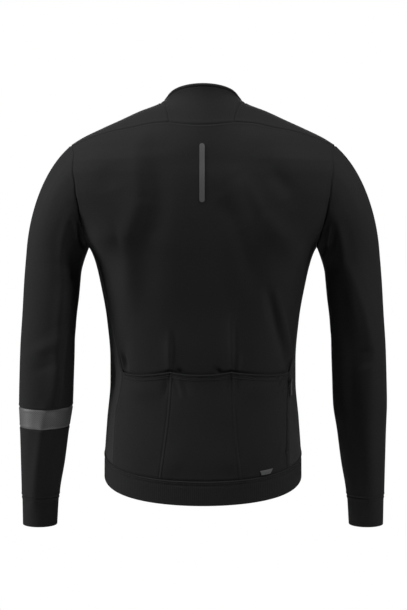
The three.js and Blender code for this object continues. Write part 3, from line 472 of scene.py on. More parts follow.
def neck_seam(back_knots):
    """The neck seam of one side by its share, from the zip to the yoke's corner."""
    knots = [(float(angle_at(-1, ZIP_HALF, NECK_ZIP_Z)), NECK_ZIP_Z)]
    knots += [(angle * DEGREE, z) for angle, z in NECK_FRONT]
    knots += [(float(angle_at(1, x, z)), z) for x, z in back_knots]
    knots = np.array(knots, float)
    length = np.linalg.norm(np.diff(knots * (70, 1), axis=0), axis=1)
    share = np.concatenate([[0], np.cumsum(length)]) / length.sum()
    angle, height = (curve_through(list(zip(share, knots[:, k]))) for k in (0, 1))
    return lambda s: (angle(s), height(s))


NECK = {side: neck_seam(knots) for side, knots in NECK_BACK.items()}
SHOULDER_CORNER = armhole(SHOULDER_TURN * DEGREE)
SHOULDER_END = (float(body_form(*SHOULDER_CORNER)[0]), float(SHOULDER_CORNER[1]))


def shoulder_seam(side):
    """The shoulder seam by its share, from the yoke's corner out to the armhole."""
    yoke = NECK_BACK[side][-1]
    height = curve_through([yoke, *SHOULDER_SEAM, SHOULDER_END])

    def at(share):
        x = lerp(yoke[0], SHOULDER_END[0], share)
        return angle_at(1, x, height(x)), height(x)

    return at


SHOULDER = {side: shoulder_seam(side) for side in NECK_BACK}


def yoke_seam(share):
    left, right = NECK_BACK[1][-1], NECK_BACK[-1][-1]
    z = left[1] - YOKE_DIP * np.sin(math.pi * share)
    return angle_at(1, lerp(left[0], -right[0], share), z), z


def back_top(column):
    column = np.asarray(column, float)
    left = SHOULDER[1](np.clip(1 - column / YOKE_LEFT, 0, 1))
    right = SHOULDER[-1](np.clip((column - YOKE_RIGHT) / (BACK_COLUMNS - YOKE_RIGHT), 0, 1))
    yoke = yoke_seam(np.clip((column - YOKE_LEFT) / (YOKE_RIGHT - YOKE_LEFT), 0, 1))
    right = (mirrored(right[0]), right[1])
    picks = [column <= YOKE_LEFT, column >= YOKE_RIGHT]
    return tuple(np.select(picks, [a, b], c) for a, b, c in zip(left, right, yoke))


POCKET_BOUNDS = (0, DIVIDER_A, DIVIDER_B, BACK_COLUMNS)


def pocket_share(column):
    """How far along its own pocket a column is, from 0 to 1."""
    column = np.asarray(column, float)
    share = np.zeros(column.shape)
    for low, high in zip(POCKET_BOUNDS, POCKET_BOUNDS[1:]):
        inside = (column >= low) & (column <= high)
        share = np.where(inside, (column - low) / (high - low), share)
    return share


def mouth_height(column):
    return MOUTH_Z - MOUTH_DIP * np.sin(math.pi * pocket_share(column)) ** 0.8


LEFT_DIVIDER = curve_through(DIVIDER_LEFT)
RIGHT_DIVIDER = curve_through(DIVIDER_RIGHT)


def pocket_row(column, row):
    """The back from the hem seam to the pocket mouths, through the pocket dividers."""
    start = BACK_SEAM[1](row)[0]
    end = mirrored(BACK_SEAM[-1](row)[0])

    def height(angle):
        return lerp(hem_seam(angle), mouth_height(column), row / LOW_ROWS)

    near = height(lerp(start, end, column / BACK_COLUMNS))
    left = angle_at(1, LEFT_DIVIDER(near), near)
    right = angle_at(1, RIGHT_DIVIDER(near), near)
    middle = lerp(left, right, (column - DIVIDER_A) / (DIVIDER_B - DIVIDER_A))
    first = lerp(start, left, column / DIVIDER_A)
    last = lerp(right, end, (column - DIVIDER_B) / (BACK_COLUMNS - DIVIDER_B))
    angle = np.select([column < DIVIDER_A, column > DIVIDER_B], [first, last], middle)
    return angle, height(angle)


def grid_between(start, end, columns, keys):
    """Angle and height by column and row, between two edges and through some key rows."""

    def bow(key, column, axis):
        row, at = key
        if at is None:
            return 0
        share = column / columns
        return at(column)[axis] - lerp(start(row)[axis], end(row)[axis], share)

    def at(column, row):
        result = []
        for axis in (0, 1):
            base = lerp(start(row)[axis], end(row)[axis], column / columns)
            extra = np.zeros(np.shape(base))
            for low, high in zip(keys, keys[1:]):
                s = smooth((row - low[0]) / (high[0] - low[0]))
                part = (1 - s) * bow(low, column, axis) + s * bow(high, column, axis)
                extra = np.where((row >= low[0]) & (row <= high[0]), part, extra)
            result.append(base + extra)
        return tuple(result)

    return at


LEFT_EDGE = with_armhole(BACK_SEAM[1], UNDERARM_TURN, BACK_ARM_ROWS)
RIGHT_EDGE = mirror_edge(with_armhole(BACK_SEAM[-1], UNDERARM_TURN, BACK_ARM_ROWS))
FRONT_EDGE = with_armhole(FRONT_SEAM, 360 - UNDERARM_TURN, FRONT_ARM_ROWS)
UPPER_BACK = grid_between(
    LEFT_EDGE, RIGHT_EDGE, BACK_COLUMNS,
    [
        (LOW_ROWS, lambda column: pocket_row(column, LOW_ROWS)),
        (UNDERARM_ROW, None),
        (BACK_ROWS, back_top),
    ],
)


def back_grid(column, row):
    column, row = np.broadcast_arrays(np.asarray(column, float), np.asarray(row, float))
    low = pocket_row(column, np.minimum(row, LOW_ROWS))
    high = UPPER_BACK(column, np.maximum(row, LOW_ROWS))
    return tuple(np.where(row <= LOW_ROWS, a, b) for a, b in zip(low, high))


def zip_edge(side):
    """The edge of a front by its row: up the zip, and then along the neck seam."""
    low = float(hem_seam(-math.pi / 2))
    corner = FRONT_ROWS - NECK_ROWS

    def at(row):
        row = np.asarray(row, float)
        z = lerp(low, NECK_ZIP_Z, np.clip(row / corner, 0, 1))
        neck = NECK[side](np.clip((row - corner) / NECK_ROWS, 0, 1))
        straight = (angle_at(-1, ZIP_HALF, z), z)
        return tuple(np.where(row <= corner, a, b) for a, b in zip(straight, neck))

    return at


def front_grid(side):
    inner = zip_edge(side)

    def hem(column):
        share = column / FRONT_COLUMNS
        angle = lerp(FRONT_SEAM(0.0)[0], inner(0.0)[0], share)
        return angle, hem_seam(angle)

    return grid_between(
        FRONT_EDGE, inner, FRONT_COLUMNS,
        [
            (0, hem),
            (LOW_ROWS, None),
            (FRONT_ROWS - NECK_ROWS, None),
            (FRONT_ROWS, lambda column: SHOULDER[side](1 - column / FRONT_COLUMNS)),
        ],
    )


def side_grid(side):
    def hem(column):
        share = column / UNDERARM_COLUMNS
        angle = lerp(FRONT_SEAM(0.0)[0], BACK_SEAM[side](0.0)[0], share)
        return angle, hem_seam(angle)

    def top(column):
        share = column / UNDERARM_COLUMNS
        return armhole(lerp(-UNDERARM_TURN, UNDERARM_TURN, share) * DEGREE)

    return grid_between(
        FRONT_SEAM, BACK_SEAM[side], UNDERARM_COLUMNS,
        [(0, hem), (LOW_ROWS, None), (UNDERARM_ROW - 3, None), (UNDERARM_ROW, top)],
    )


def tube_point(turn, at):
    """The sleeve below its first ring: turn 0 is its inner side, and it turns to the back."""
    value = {column: curve(at) for column, curve in SLEEVE.items()}
    share = (1 - np.cos(turn)) / 2
    lean = value["lean"] * DEGREE
    reach = np.sin(turn) * value["depth"]
    x = lerp(value["inner_x"], value["outer_x"], share)
    y = value["y"] + np.cos(lean) * reach
    z = lerp(value["inner_z"], value["outer_z"], share) - np.sin(lean) * reach
    return np.stack(np.broadcast_arrays(x, y, z), -1)


def cap_point(turn, at):
    """The sleeve cap: one cubic for each turn, from the armhole to the first ring."""
    start, end = body_form(*armhole(turn)), tube_point(turn, 1.0)
    up = -np.cos(turn)[..., None]
    side = np.array(LEAVE_SIDE) * np.stack(
        np.broadcast_arrays(1.0, np.sign(np.sin(turn)), 1.0), -1
    )
    leave = unit(lerp(side, np.where(up > 0, LEAVE_TOP, LEAVE_BOTTOM), np.abs(up)))
    arrive = unit(tube_point(turn, 1.1) - end)
    reach = np.linalg.norm(start - end, axis=-1, keepdims=True) * CAP_REACH
    s = np.asarray(at)[..., None]
    t = np.clip(s, 0, 1)
    second, third = start + leave * reach, end - arrive * reach
    point = (1 - t) ** 3 * start + 3 * t * (1 - t) ** 2 * second
    point = point + 3 * t * t * (1 - t) * third + t**3 * end
    return point + leave * reach * np.minimum(s, 0)


def sleeve_form(turn, at):
    turn, at = np.broadcast_arrays(np.asarray(turn, float), np.asarray(at, float))
    on_cap = (at < 1)[..., None]
    return np.where(on_cap, cap_point(turn, at), tube_point(turn, np.maximum(at, 1)))


def sleeve_fold(angle0, ring0, angle1, ring1, width, rise):
    s = np.linspace(0, 1, 5)
    path = sleeve_form(lerp(angle0, angle1, s) * DEGREE, lerp(ring0, ring1, s))
    return path, width, rise


SLEEVE_CREASES = {
    side: [sleeve_fold(*row) for row in (*SLEEVE_FOLDS, *rows)]
    for side, rows in ARM_CREASES.items()
}


def on_sleeve(turn, at, side, out=0.0):
    """Points of a folded sleeve moved out along its normal, and the normals."""
    turn, at = np.broadcast_arrays(np.asarray(turn, float), np.asarray(at, float))

    def surface(turn, at):
        point = sleeve_form(turn, at)
        height = fold_height(point, SLEEVE_CREASES[side]) * smooth(np.asarray(at) / 0.06)
        return point + normal_of(sleeve_form, turn, at, 0.02, 0.02) * height[..., None]

    normal = normal_of(surface, turn, np.maximum(at, 0.012), 0.012, 0.012)
    point = surface(turn, at) + normal * np.asarray(out)[..., None]
    flip = np.array((side, 1, 1))
    return point * flip, normal * flip


# Distances of the first grid lines from a seam
SEAM_STEPS = (0, 0.5, 1.1, 1.9, 2.9, 4, 5.4)


def spread(low, high, cell, step, seams=(True, True)):
    """Grid lines from low to high, where one index unit is about cell millimetres."""
    lines = list(np.linspace(low, high, max(2, round((high - low) * cell / step)) + 1))
    room = SEAM_STEPS[-1] / cell * 1.3
    lines = [x for x in lines if (not seams[0] or x > low + room)]
    lines = [x for x in lines if (not seams[1] or x < high - room)]
    if seams[0]:
        lines = [low + s / cell for s in SEAM_STEPS] + lines
    if seams[1]:
        lines = lines + [high - s / cell for s in reversed(SEAM_STEPS)]
    return np.array(lines)


EDGES = ("left", "right", "low", "high")


def edge_distances(points):
    """How far each grid point is from the four edges, along the cloth, in millimetres."""
    across = np.linalg.norm(np.diff(points, axis=1), axis=-1)
    along = np.linalg.norm(np.diff(points, axis=0), axis=-1)
    left = np.pad(np.cumsum(across, 1), ((0, 0), (1, 0)))
    low = np.pad(np.cumsum(along, 0), ((1, 0), (0, 0)))
    return {
        "left": left,
        "right": left[:, -1:] - left,
        "low": low,
        "high": low[-1:] - low,
    }


def settle_seams(points, normals, seams, depth, width=1.5, pull=-0.12):
    """Sinks the cloth at its seams, with a soft bulge beside, and lets the edges just meet."""
    away = edge_distances(points)
    for name in seams:
        dip = depth * bell(away[name], 0, width)
        bulge = 0.45 * depth * bell(away[name] / width, 2.3, 1)
        points = points + normals * (bulge - dip)[..., None]
    for name, axis, edge, inner in (
        ("left", 1, 0, 1), ("right", 1, -1, -2), ("low", 0, 0, 1), ("high", 0, -1, -2),
    ):
        if name in seams:
            line = np.moveaxis(points, axis, 0)
            line[edge] += unit(line[inner] - line[edge]) * pull
    return points


def finish_piece(obj, cad_node, material, body=BODY):
    obj.data.materials.clear()
    obj.data.materials.append(material)
    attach(obj, body)
    if cad_node:
        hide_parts(cad_node)
    return obj


def object_from(mesh_maker, name):
    """Makes an object of the scene from a finished bmesh."""
    mesh = bpy.data.meshes.new(name)
    mesh_maker.to_mesh(mesh)
    mesh_maker.free()
    obj = bpy.data.objects.new(name, mesh)
    bpy.context.scene.collection.objects.link(obj)
    return obj


def round_edges(obj, width, segments, sharpest):
    """Rounds the edges that turn by more than this many degrees."""
    bevel = obj.modifiers.new("Rounding", "BEVEL")
    bevel.width = width * MM
    bevel.segments = segments
    bevel.limit_method = "ANGLE"
    bevel.angle_limit = sharpest * DEGREE


def cloth_object(name, points, normals, thickness, closed=False, rim=0.35):
    """A cloth wall over a grid of points. Its UV map is the length along the cloth."""
    rows, columns = points.shape[:2]
    away = edge_distances(points)
    mesh_maker = bmesh.new()
    bmesh.ops.create_grid(mesh_maker, x_segments=columns - 1, y_segments=rows - 1, size=1)
    uv = mesh_maker.loops.layers.uv.new("UVMap")
    cell = {}
    for vertex in mesh_maker.verts:
        i = round((vertex.co.x + 1) / 2 * (columns - 1))
        j = round((vertex.co.y + 1) / 2 * (rows - 1))
        cell[vertex] = (j, i)
        vertex.co = Vector(points[j, i]) * MM
    middle = float(np.median(away["left"][:, -1])) / 2
    width = away["left"][:, -1:] if closed else None
    for face in mesh_maker.faces:
        face.smooth = True
        for loop in face.loops:
            j, i = cell[loop.vert]
            if closed:
                u = away["left"][j, i] / width[j, 0] * 2 * middle
            else:
                u = away["left"][j, i] - away["left"][j, -1] / 2 + middle
            loop[uv].uv = (u * MM, away["low"][j, i] * MM)
    if closed:
        bmesh.ops.remove_doubles(mesh_maker, verts=mesh_maker.verts, dist=1e-6)
    mesh_maker.normal_update()
    facing = 0
    for vertex, (j, i) in cell.items():
        if vertex.is_valid:
            facing += vertex.normal.dot(Vector(normals[j, i]))
    if facing < 0:
        bmesh.ops.reverse_faces(mesh_maker, faces=mesh_maker.faces)
    obj = object_from(mesh_maker, name)
    wall = obj.modifiers.new("Wall", "SOLIDIFY")
    wall.thickness = thickness * MM
    wall.offset = -1
    round_edges(obj, rim, 2, 62)
    return obj


def panel(grid, columns, rows, side=1, out=0.0, creases=BODY_CREASES):
    """A body panel's points and normals over its grid lines."""
    sizes = bpy.context.scene.jersey_sizes
    column, row = np.meshgrid(columns, rows)
    angle, z = grid(column, row)
    if side < 0:
        angle = mirrored(angle)
    points, normals = on_body(angle, z, out, creases)
    points = settle_seams(points, normals, EDGES, sizes.seam_depth / MM)
    return points, normals


class Number:
    """A shader socket that takes part in sums, each adding its own Math node."""

    def __init__(self, maker, socket):
        self.maker = maker
        self.socket = socket

    def math(self, operation, *others):
        node = self.maker.node("ShaderNodeMath", {"operation": operation})
        for slot_index, value in enumerate((self, *others)):
            self.maker.feed(node.inputs[slot_index], value)
        return Number(self.maker, node.outputs[0])

    def __add__(self, other):
        return self.math("ADD", other)

    __radd__ = __add__

    def __mul__(self, other):
        return self.math("MULTIPLY", other)

    __rmul__ = __mul__

    def __sub__(self, other):
        return self.math("SUBTRACT", other)

    def __rsub__(self, other):
        return (self * -1) + other

    def __truediv__(self, other):
        return self.math("DIVIDE", other)

    def __pow__(self, other):
        return self.math("POWER", other)

    def sine(self):
        return self.math("SINE")

    def clamped(self):
        return self.math("MAXIMUM", 0).math("MINIMUM", 1)


class Finish:
    """A material and its nodes."""

    def __init__(self, name, **constants):
        self.material = bpy.data.materials.new(name)
        self.material.use_nodes = True
        self.tree = self.material.node_tree
        self.shader = self.tree.nodes["Principled BSDF"]
        for socket, value in constants.items():
            self.shader.inputs[socket.replace("_", " ")].default_value = value

    def node(self, kind, settings=None, **sockets):
        node = self.tree.nodes.new(kind)
        for key, value in (settings or {}).items():
            setattr(node, key, value)
        for key, value in sockets.items():
            self.feed(node.inputs[key.replace("_", " ")], value)
        return node

    def feed(self, socket, value):
        if isinstance(value, Number):
            value = value.socket
        if isinstance(value, bpy.types.NodeSocket):
            self.tree.links.new(value, socket)
        else:
            socket.default_value = value

    def coordinates(self, kind="Object"):
        return self.node("ShaderNodeTexCoord").outputs[kind]

    def axes(self, vector):
        node = self.node("ShaderNodeSeparateXYZ", Vector=vector)
        return [Number(self, output) for output in node.outputs]

    def noise(self, vector, scale, detail=2.0, roughness=0.5):
        node = self.node(
            "ShaderNodeTexNoise", Vector=vector, Scale=scale, Detail=detail, Roughness=roughness
        )
        return Number(self, node.outputs["Fac"])

    def mix(self, share, first, second):
        node = self.node("ShaderNodeMix", {"data_type": "RGBA"})
        self.feed(node.inputs[0], share)
        self.feed(node.inputs[6], first)
        self.feed(node.inputs[7], second)
        return node.outputs[2]

    def bump(self, height, strength, distance):
        node = self.node(
            "ShaderNodeBump", Strength=strength, Distance=distance, Height=height
        )
        self.feed(self.shader.inputs["Normal"], node.outputs["Normal"])

    def base(self, colour):
        self.feed(self.shader.inputs["Base Color"], colour)

    def roughness(self, value):
        self.feed(self.shader.inputs["Roughness"], value)


def shade(colour, factor):
    return (*(min(1, c * factor) for c in colour[:3]), 1)


def knit_finish(name, colour, pitch, relief, roughness=0.82, brushed=0.35, sheen=0.01):
    """Matt stretch knit: fine staggered loops, a brushed unevenness and faint patches, with painted
    shade in the hollows between the loops.
    """
    made = Finish(name, Specular_IOR_Level=0.12, Sheen_Weight=sheen, Sheen_Roughness=0.45)
    u, v, _ = made.axes(made.coordinates("UV"))
    turn = 2 * math.pi / (pitch * MM)
    loops = (u * turn).sine() * (v * turn).sine() * 0.5 + 0.5
    place = made.coordinates("Object")
    fibres = made.noise(place, 1400, 3)
    patches = made.noise(place, 9, 3)
    made.bump(loops * (1 - brushed) + fibres * brushed, 0.5, relief * MM)
    # Painted shade: the colour follows the height of the loops and fibres, darker in their hollows
    # and lighter on their tops. The patches vary at random.
    tone = (loops * 0.35 + fibres * 0.3 + patches * 0.35).clamped()
    made.base(made.mix(tone, shade(colour, 0.72), shade(colour, 1.28)))
    made.roughness(roughness + fibres * 0.08)
    return made.material


def rib_finish(name, colour, pitch, relief):
    """Elastic band: fine upright ribs with a grain across them, and painted shade in the grooves
    between the ribs.
    """
    made = Finish(name, Specular_IOR_Level=0.12)
    u, v, _ = made.axes(made.coordinates("UV"))
    ribs = (u * (2 * math.pi / (pitch * MM))).sine() * 0.5 + 0.5
    grain = (v * (2 * math.pi / (0.9 * MM))).sine() * 0.5 + 0.5
    fibres = made.noise(made.coordinates("Object"), 1200, 3)
    made.bump(ribs * 0.75 + grain * 0.15 + fibres * 0.1, 0.6, relief * MM)
    # Painted shade: the colour follows the ribs' height, darker in the grooves and lighter on the
    # ribs, with random fibres.
    tone = (ribs * 0.5 + fibres * 0.4 + 0.05).clamped()
    made.base(made.mix(tone, shade(colour, 0.65), shade(colour, 1.3)))
    made.roughness(0.8 + fibres * 0.1)
    return made.material


def reflective_finish(name, colour, dot_pitch):
    """Grey reflective print, pierced with staggered dots."""
    made = Finish(name, Specular_IOR_Level=0.6, Metallic=0.25)
    u, v, _ = made.axes(made.coordinates("UV"))
    turn = 2 * math.pi / (dot_pitch * MM)
    dots = ((u * turn).sine() * (v * turn).sine() * 4 - 1.1).clamped()
    glass = made.noise(made.coordinates("Object"), 2600, 2)
    made.base(made.mix(dots, shade(colour, 1.12), shade(colour, 0.5)))
    made.bump(glass * 0.5 - dots * 0.8, 0.4, 0.12 * MM)
    made.roughness(0.42 + glass * 0.2 + dots * 0.25)
    return made.material


def film_finish(name, colour):
    """Satin reflective film with a fine bead grain."""
    made = Finish(name, Specular_IOR_Level=0.6, Metallic=0.3)
    beads = made.noise(made.coordinates("Object"), 3000, 2)
    patches = made.noise(made.coordinates("Object"), 60, 2)
    tone = (beads * 0.5 + patches * 0.5).clamped()
    made.base(made.mix(tone, shade(colour, 0.85), shade(colour, 1.15)))
    made.bump(beads, 0.3, 0.08 * MM)
    made.roughness(0.38 + beads * 0.18)
    return made.material


def hard_finish(name, colour, roughness, metallic=0.0, grain=500):
    """Moulded plastic or lacquered metal with a faint grain and handling marks."""
    made = Finish(name, Metallic=metallic)
    place = made.coordinates("Object")
    fine = made.noise(place, grain * 3, 3)
    marks = made.noise(place, grain, 2)
    made.base(made.mix(marks, shade(colour, 0.85), shade(colour, 1.2)))
    made.bump(fine, 0.25, 0.05 * MM)
    made.roughness(roughness + marks * 0.15)
    return made.material


FINISHES = {}


def finish_of(name):
    """The finishes of the jersey, each made once."""
    if name not in FINISHES:
        colours = bpy.context.scene.jersey_colours
        makers = {
            "knit": lambda: knit_finish("Brushed knit", colours.cloth, 1.1, 0.16),
            # The side panels' knit is 1.45 times lighter than the main cloth: partly a lighter side
            # fabric, partly painted rim light on the torso's sides, which the sleeves shade from the
            # side lamps.
            "side": lambda: knit_finish(
                "Side knit with painted rim light", shade(colours.cloth, 1.45), 1.3, 0.2, sheen=0.03
            ),
            "pocket": lambda: knit_finish("Pocket knit", colours.cloth, 0.9, 0.14, brushed=0.2),
            "band": lambda: rib_finish("Ribbed elastic", colours.band, 3.3, 0.35),
            "binding": lambda: knit_finish("Binding", colours.band, 0.8, 0.12, 0.75),
            "reflective": lambda: reflective_finish("Reflective cloth", colours.reflective, 3.4),
            "film": lambda: film_finish("Reflective film", colours.film),
            "tape": lambda: knit_finish("Zip tape", colours.zip, 0.7, 0.15, 0.7, 0.1),
            "coil": lambda: hard_finish("Zip coil", colours.zip, 0.6),
            "lacquer": lambda: hard_finish("Lacquered metal", colours.pull, 0.3, 0.4),
            "tab": lambda: hard_finish("Moulded pull", colours.pull, 0.45),
            "woven": lambda: knit_finish("Woven tab", colours.film, 0.8, 0.15, 0.6, 0.1),
            "thread": lambda: hard_finish("Thread", colours.thread, 0.6, 0.0, 900),
        }
        FINISHES[name] = makers[name]()
    return FINISHES[name]


def length_property(name, description, default):
    return FloatProperty(name=name, description=description, default=default, unit="LENGTH")


def colour_property(name, description, default):
    return FloatVectorProperty(
        name=name, description=description, default=default, subtype="COLOR", min=0, max=1
    )


class JerseySizes(bpy.types.PropertyGroup):
    """Sizes of the jersey's cloth and sewing."""

    cloth: length_property("Cloth", "Thickness of the main cloth", 0.0013)
    pocket_cloth: length_property("Pocket cloth", "Thickness of the pockets", 0.0012)
    band_cloth: length_property("Band", "Thickness of hem band and cuffs", 0.002)
    seam_depth: length_property("Seam depth", "How deep a seam sinks", 0.0009)
    mouth_gape: length_property("Pocket gape", "How far a pocket mouth stands off", 0.006)
    mesh_step: length_property("Mesh step", "Spacing of the cloth's grid lines", 0.0046)
    fine_step: length_property("Fine step", "Spacing of grid lines on creased pieces", 0.003)
    stitch: length_property("Stitch", "Length of one stitch", 0.0026)


class JerseyColours(bpy.types.PropertyGroup):
    """Colours of the jersey's materials."""

    cloth: colour_property("Cloth", "Main knit", (0.0125, 0.0125, 0.013))
    band: colour_property("Band", "Hem band and bindings", (0.013, 0.013, 0.0135))
    reflective: colour_property("Reflective cloth", "Band on the left sleeve", (0.075, 0.075, 0.077))
    film: colour_property("Reflective film", "Strip on the back", (0.09, 0.09, 0.092))
    zip: colour_property("Zip", "Zip tape and coil", (0.008, 0.008, 0.008))
    pull: colour_property("Pulls", "Zip sliders and pulls", (0.05, 0.05, 0.052))
    thread: colour_property("Thread", "Sewing thread", (0.016, 0.016, 0.0165))


class JerseyStage(bpy.types.PropertyGroup):
    """The studio."""

    distance: length_property("Camera distance", "From the middle of the jersey", 3.6)
    floor_drop: length_property("Floor", "How far the floor lies below the neck", 1.9)
    ambient: FloatProperty(
        name="Ambient", description="Light from all round, apart from the lamps", default=0.004
    )
    brightness: FloatProperty(
        name="Brightness", description="Share of every lamp's power", default=1.0
    )


class JERSEY_OT_back(bpy.types.Operator):
    """Builds the back panel, from the hem seam to the yoke and shoulder seams"""

    bl_idname = "jersey.back"
    bl_label = "Back"

    def execute(self, context):
        sizes = context.scene.jersey_sizes
        step = sizes.fine_step / MM
        wide, tall = BACK_CELL
        columns = spread(0, BACK_COLUMNS, wide, step)
        rows = spread(0, BACK_ROWS, tall, step)
        near_mouth = LOW_ROWS + np.arange(-1.5, 8, 0.75) / tall
        rows = np.unique(np.concatenate([rows, near_mouth]))
        column, row = np.meshgrid(columns, rows)
        sunk = (POCKET_WALL + LAYER_GAP) * (1 - smooth((row - LOW_ROWS) / 1.5))
        corner = 1 - np.sin(math.pi * pocket_share(column)) ** 0.5
        groove = bell((row - LOW_ROWS) * tall, 0, 2.6)
        sunk = sunk + (0.45 + 2.4 * corner) * groove
        points, normals = panel(back_grid, columns, rows, 1, -sunk, PANEL_CREASES)
        obj = cloth_object("back_panel", points, normals, sizes.cloth / MM)
        finish_piece(obj, "back", finish_of("knit"))
        return {"FINISHED"}


def pocket_points(columns, rows, first, last, opened, extra=0.0):
    """Points of a pocket wall on the back's own grid, moved out, with its mouth open."""
    sizes = bpy.context.scene.jersey_sizes
    column, row = np.meshgrid(columns, rows)
    angle, z = back_grid(column, row)
    share = np.clip((column - first) / (last - first), 0, 1)
    below = (1 - row / LOW_ROWS) * (MOUTH_Z - HEM_SIDE_Z)
    fade = np.clip(1 - below / GAPE_FADE, 0, 1) ** 1.6
    across = np.sin(math.pi * share) ** 1.1
    gape = sizes.mouth_gape / MM * fade * across * opened
    bulge = 3.2 * (1 - opened) * across * bell(below, 26, 17)
    return on_body(angle, z, gape + bulge + extra)


def mouth_profile(down):
    """Height of the turned pocket mouth: a roll, two sunk stitch lines and the turning's end."""
    turned = 0.8 * smooth((10.2 - down) / 1.2)
    first = 1.1 * bell(down, MOUTH_STITCHES[0], 0.9)
    second = 0.7 * bell(down, MOUTH_STITCHES[1], 0.7)
    return turned + bell(down, 1.4, 1.3) - first - second


def divider_profile(away, tape):
    """Height of a pocket beside its divider: a flat tape that ends in a sunk stitch line."""
    raised = 0.3 * smooth((tape - away) / 1.2) * smooth(away / 1.2)
    return raised - 0.28 * bell(away, tape, 0.8)


MOUTH_STITCHES = (4.1, 7.6)
# Pockets: name, CAD node, first and last grid column, share of the gape, and the width of the
# tape beside the left divider
POCKETS = (
    ("pocket_left_wall", "pocket_left", 0, DIVIDER_A, 0.35, 0),
    ("pocket_centre_wall", "pocket_centre", DIVIDER_A, DIVIDER_B, 1, 4.6),
    ("pocket_right_wall", "pocket_right", DIVIDER_B, BACK_COLUMNS - POCKET_ZIP_SHARE, 0.35, 5.6),
)


class JERSEY_OT_pockets(bpy.types.Operator):
    """Builds the three back pockets with their turned and stitched mouths"""

    bl_idname = "jersey.pockets"
    bl_label = "Back pockets"

    def execute(self, context):
        sizes = context.scene.jersey_sizes
        step = sizes.mesh_step / MM * 0.7
        wide, tall = POCKET_CELL
        for name, node, first, last, opened, tape in POCKETS:
            columns = spread(first, last, wide, step)
            if tape:
                near_tape = first + (tape + np.arange(-1.2, 1.6, 0.6)) / DIVIDER_CELL
                columns = np.unique(np.concatenate([columns, near_tape]))
            body = spread(0, LOW_ROWS - 11 / tall, tall, step, (True, False))
            turned = LOW_ROWS - np.arange(10.4, -0.1, -0.52) / tall
            rows = np.concatenate([body, turned])
            points, normals = pocket_points(columns, rows, first, last, opened)
            away = edge_distances(points)
            height = mouth_profile(away["high"])
            if tape:
                height = height + divider_profile(away["left"], tape)
            points = points + normals * height[..., None]
            points = settle_seams(points, normals, ("left", "right", "low"), 0.32)
            obj = cloth_object(name, points, normals, sizes.pocket_cloth / MM)
            finish_piece(obj, node, finish_of("pocket"))
        return {"FINISHED"}


class JERSEY_OT_sides(bpy.types.Operator):
    """Builds the side panels under the arms"""

    bl_idname = "jersey.sides"
    bl_label = "Side panels"

    def execute(self, context):
        sizes = context.scene.jersey_sizes
        step = sizes.mesh_step / MM
        for name, side in (("side_left", 1), ("side_right", -1)):
            columns = spread(0, UNDERARM_COLUMNS, SIDE_CELL[0], step)
            rows = spread(0, UNDERARM_ROW, SIDE_CELL[1], step)
            creases = LEFT_CREASES if side > 0 else BODY_CREASES
            points, normals = panel(side_grid(side), columns, rows, side, 0, creases)
            obj = cloth_object(name + "_panel", points, normals, sizes.cloth / MM)
            finish_piece(obj, name, finish_of("side"))
        return {"FINISHED"}


class JERSEY_OT_fronts(bpy.types.Operator):
    """Builds the two fronts, which reach over the shoulders to the back"""

    bl_idname = "jersey.fronts"
    bl_label = "Fronts"

    def execute(self, context):
        sizes = context.scene.jersey_sizes
        step = sizes.mesh_step / MM
        for name, side in (("front_left", 1), ("front_right", -1)):
            columns = spread(0, FRONT_COLUMNS, FRONT_CELL[0], step)
            rows = spread(0, FRONT_ROWS, FRONT_CELL[1], step)
            points, normals = panel(front_grid(side), columns, rows, side)
            obj = cloth_object(name + "_panel", points, normals, sizes.cloth / MM)
            finish_piece(obj, name, finish_of("knit"))
        return {"FINISHED"}


# The yoke's share of the neck line, and the share on each side of it
YOKE_SHARE, NECK_SHARE = 0.28, 0.36


def neck_line(share):
    """The neck seam all the way round, from one side of the zip to the other."""
    share = np.asarray(share, float)
    left = NECK[1](np.clip(share / NECK_SHARE, 0, 1))
    right = NECK[-1](np.clip((1 - share) / NECK_SHARE, 0, 1))
    yoke = yoke_seam(np.clip((share - NECK_SHARE) / YOKE_SHARE, 0, 1))
    right = (mirrored(right[0]), right[1])
    picks = [share <= NECK_SHARE, share >= 1 - NECK_SHARE]
    return tuple(np.select(picks, [a, b], c) for a, b, c in zip(left, right, yoke))


def between_zip_edges(share, angle, z):
    """The collar's angles, with its first and last ones exactly on the zip's edges."""
    left = angle_at(-1, ZIP_HALF, z)
    right = mirrored(left) + 2 * math.pi
    return np.select([share <= 0, share >= 1], [left, right], angle)


class JERSEY_OT_collar(bpy.types.Operator):
    """Builds the stand collar with its back yoke, and its bound edge"""

    bl_idname = "jersey.collar"
    bl_label = "Collar"

    def execute(self, context):
        sizes = context.scene.jersey_sizes
        step = 3.2
        round_neck = spread(0, 1, COLLAR_CELL[0], step)
        share, up = np.meshgrid(round_neck, spread(0, 1, COLLAR_CELL[1], step))
        start, low = neck_line(share)
        high = collar_top(start) - COLLAR_EDGE + 1.5
        z = lerp(low, high, up)
        points, normals = on_body(between_zip_edges(share, start, z), z)
        points = settle_seams(points, normals, EDGES, 0.6)
        collar = cloth_object("collar_with_yoke", points, normals, sizes.cloth / MM)
        finish_piece(collar, "collar", finish_of("knit"))

        share, up = np.meshgrid(round_neck, np.linspace(0, 1, 12))
        start = neck_line(share)[0]
        z = collar_top(start) - COLLAR_EDGE * (1 - up)
        angle = between_zip_edges(share, start, z)
        points, normals = on_body(angle, z, 1.9 * np.sin(math.pi * lerp(0.06, 0.96, up)) - 0.6)
        points = settle_seams(points, normals, ("left", "right", "low"), 0.5)
        edge = cloth_object("collar_binding", points, normals, 2.2, rim=0.8)
        finish_piece(edge, "collar_edge", finish_of("binding"))
        return {"FINISHED"}


def hem_angles():
    """Angles round the hem, from one side of the zip to the other."""
    first = float(angle_at(-1, ZIP_HALF, hem_seam(-math.pi / 2)))
    return np.linspace(first, mirrored(first), 260)


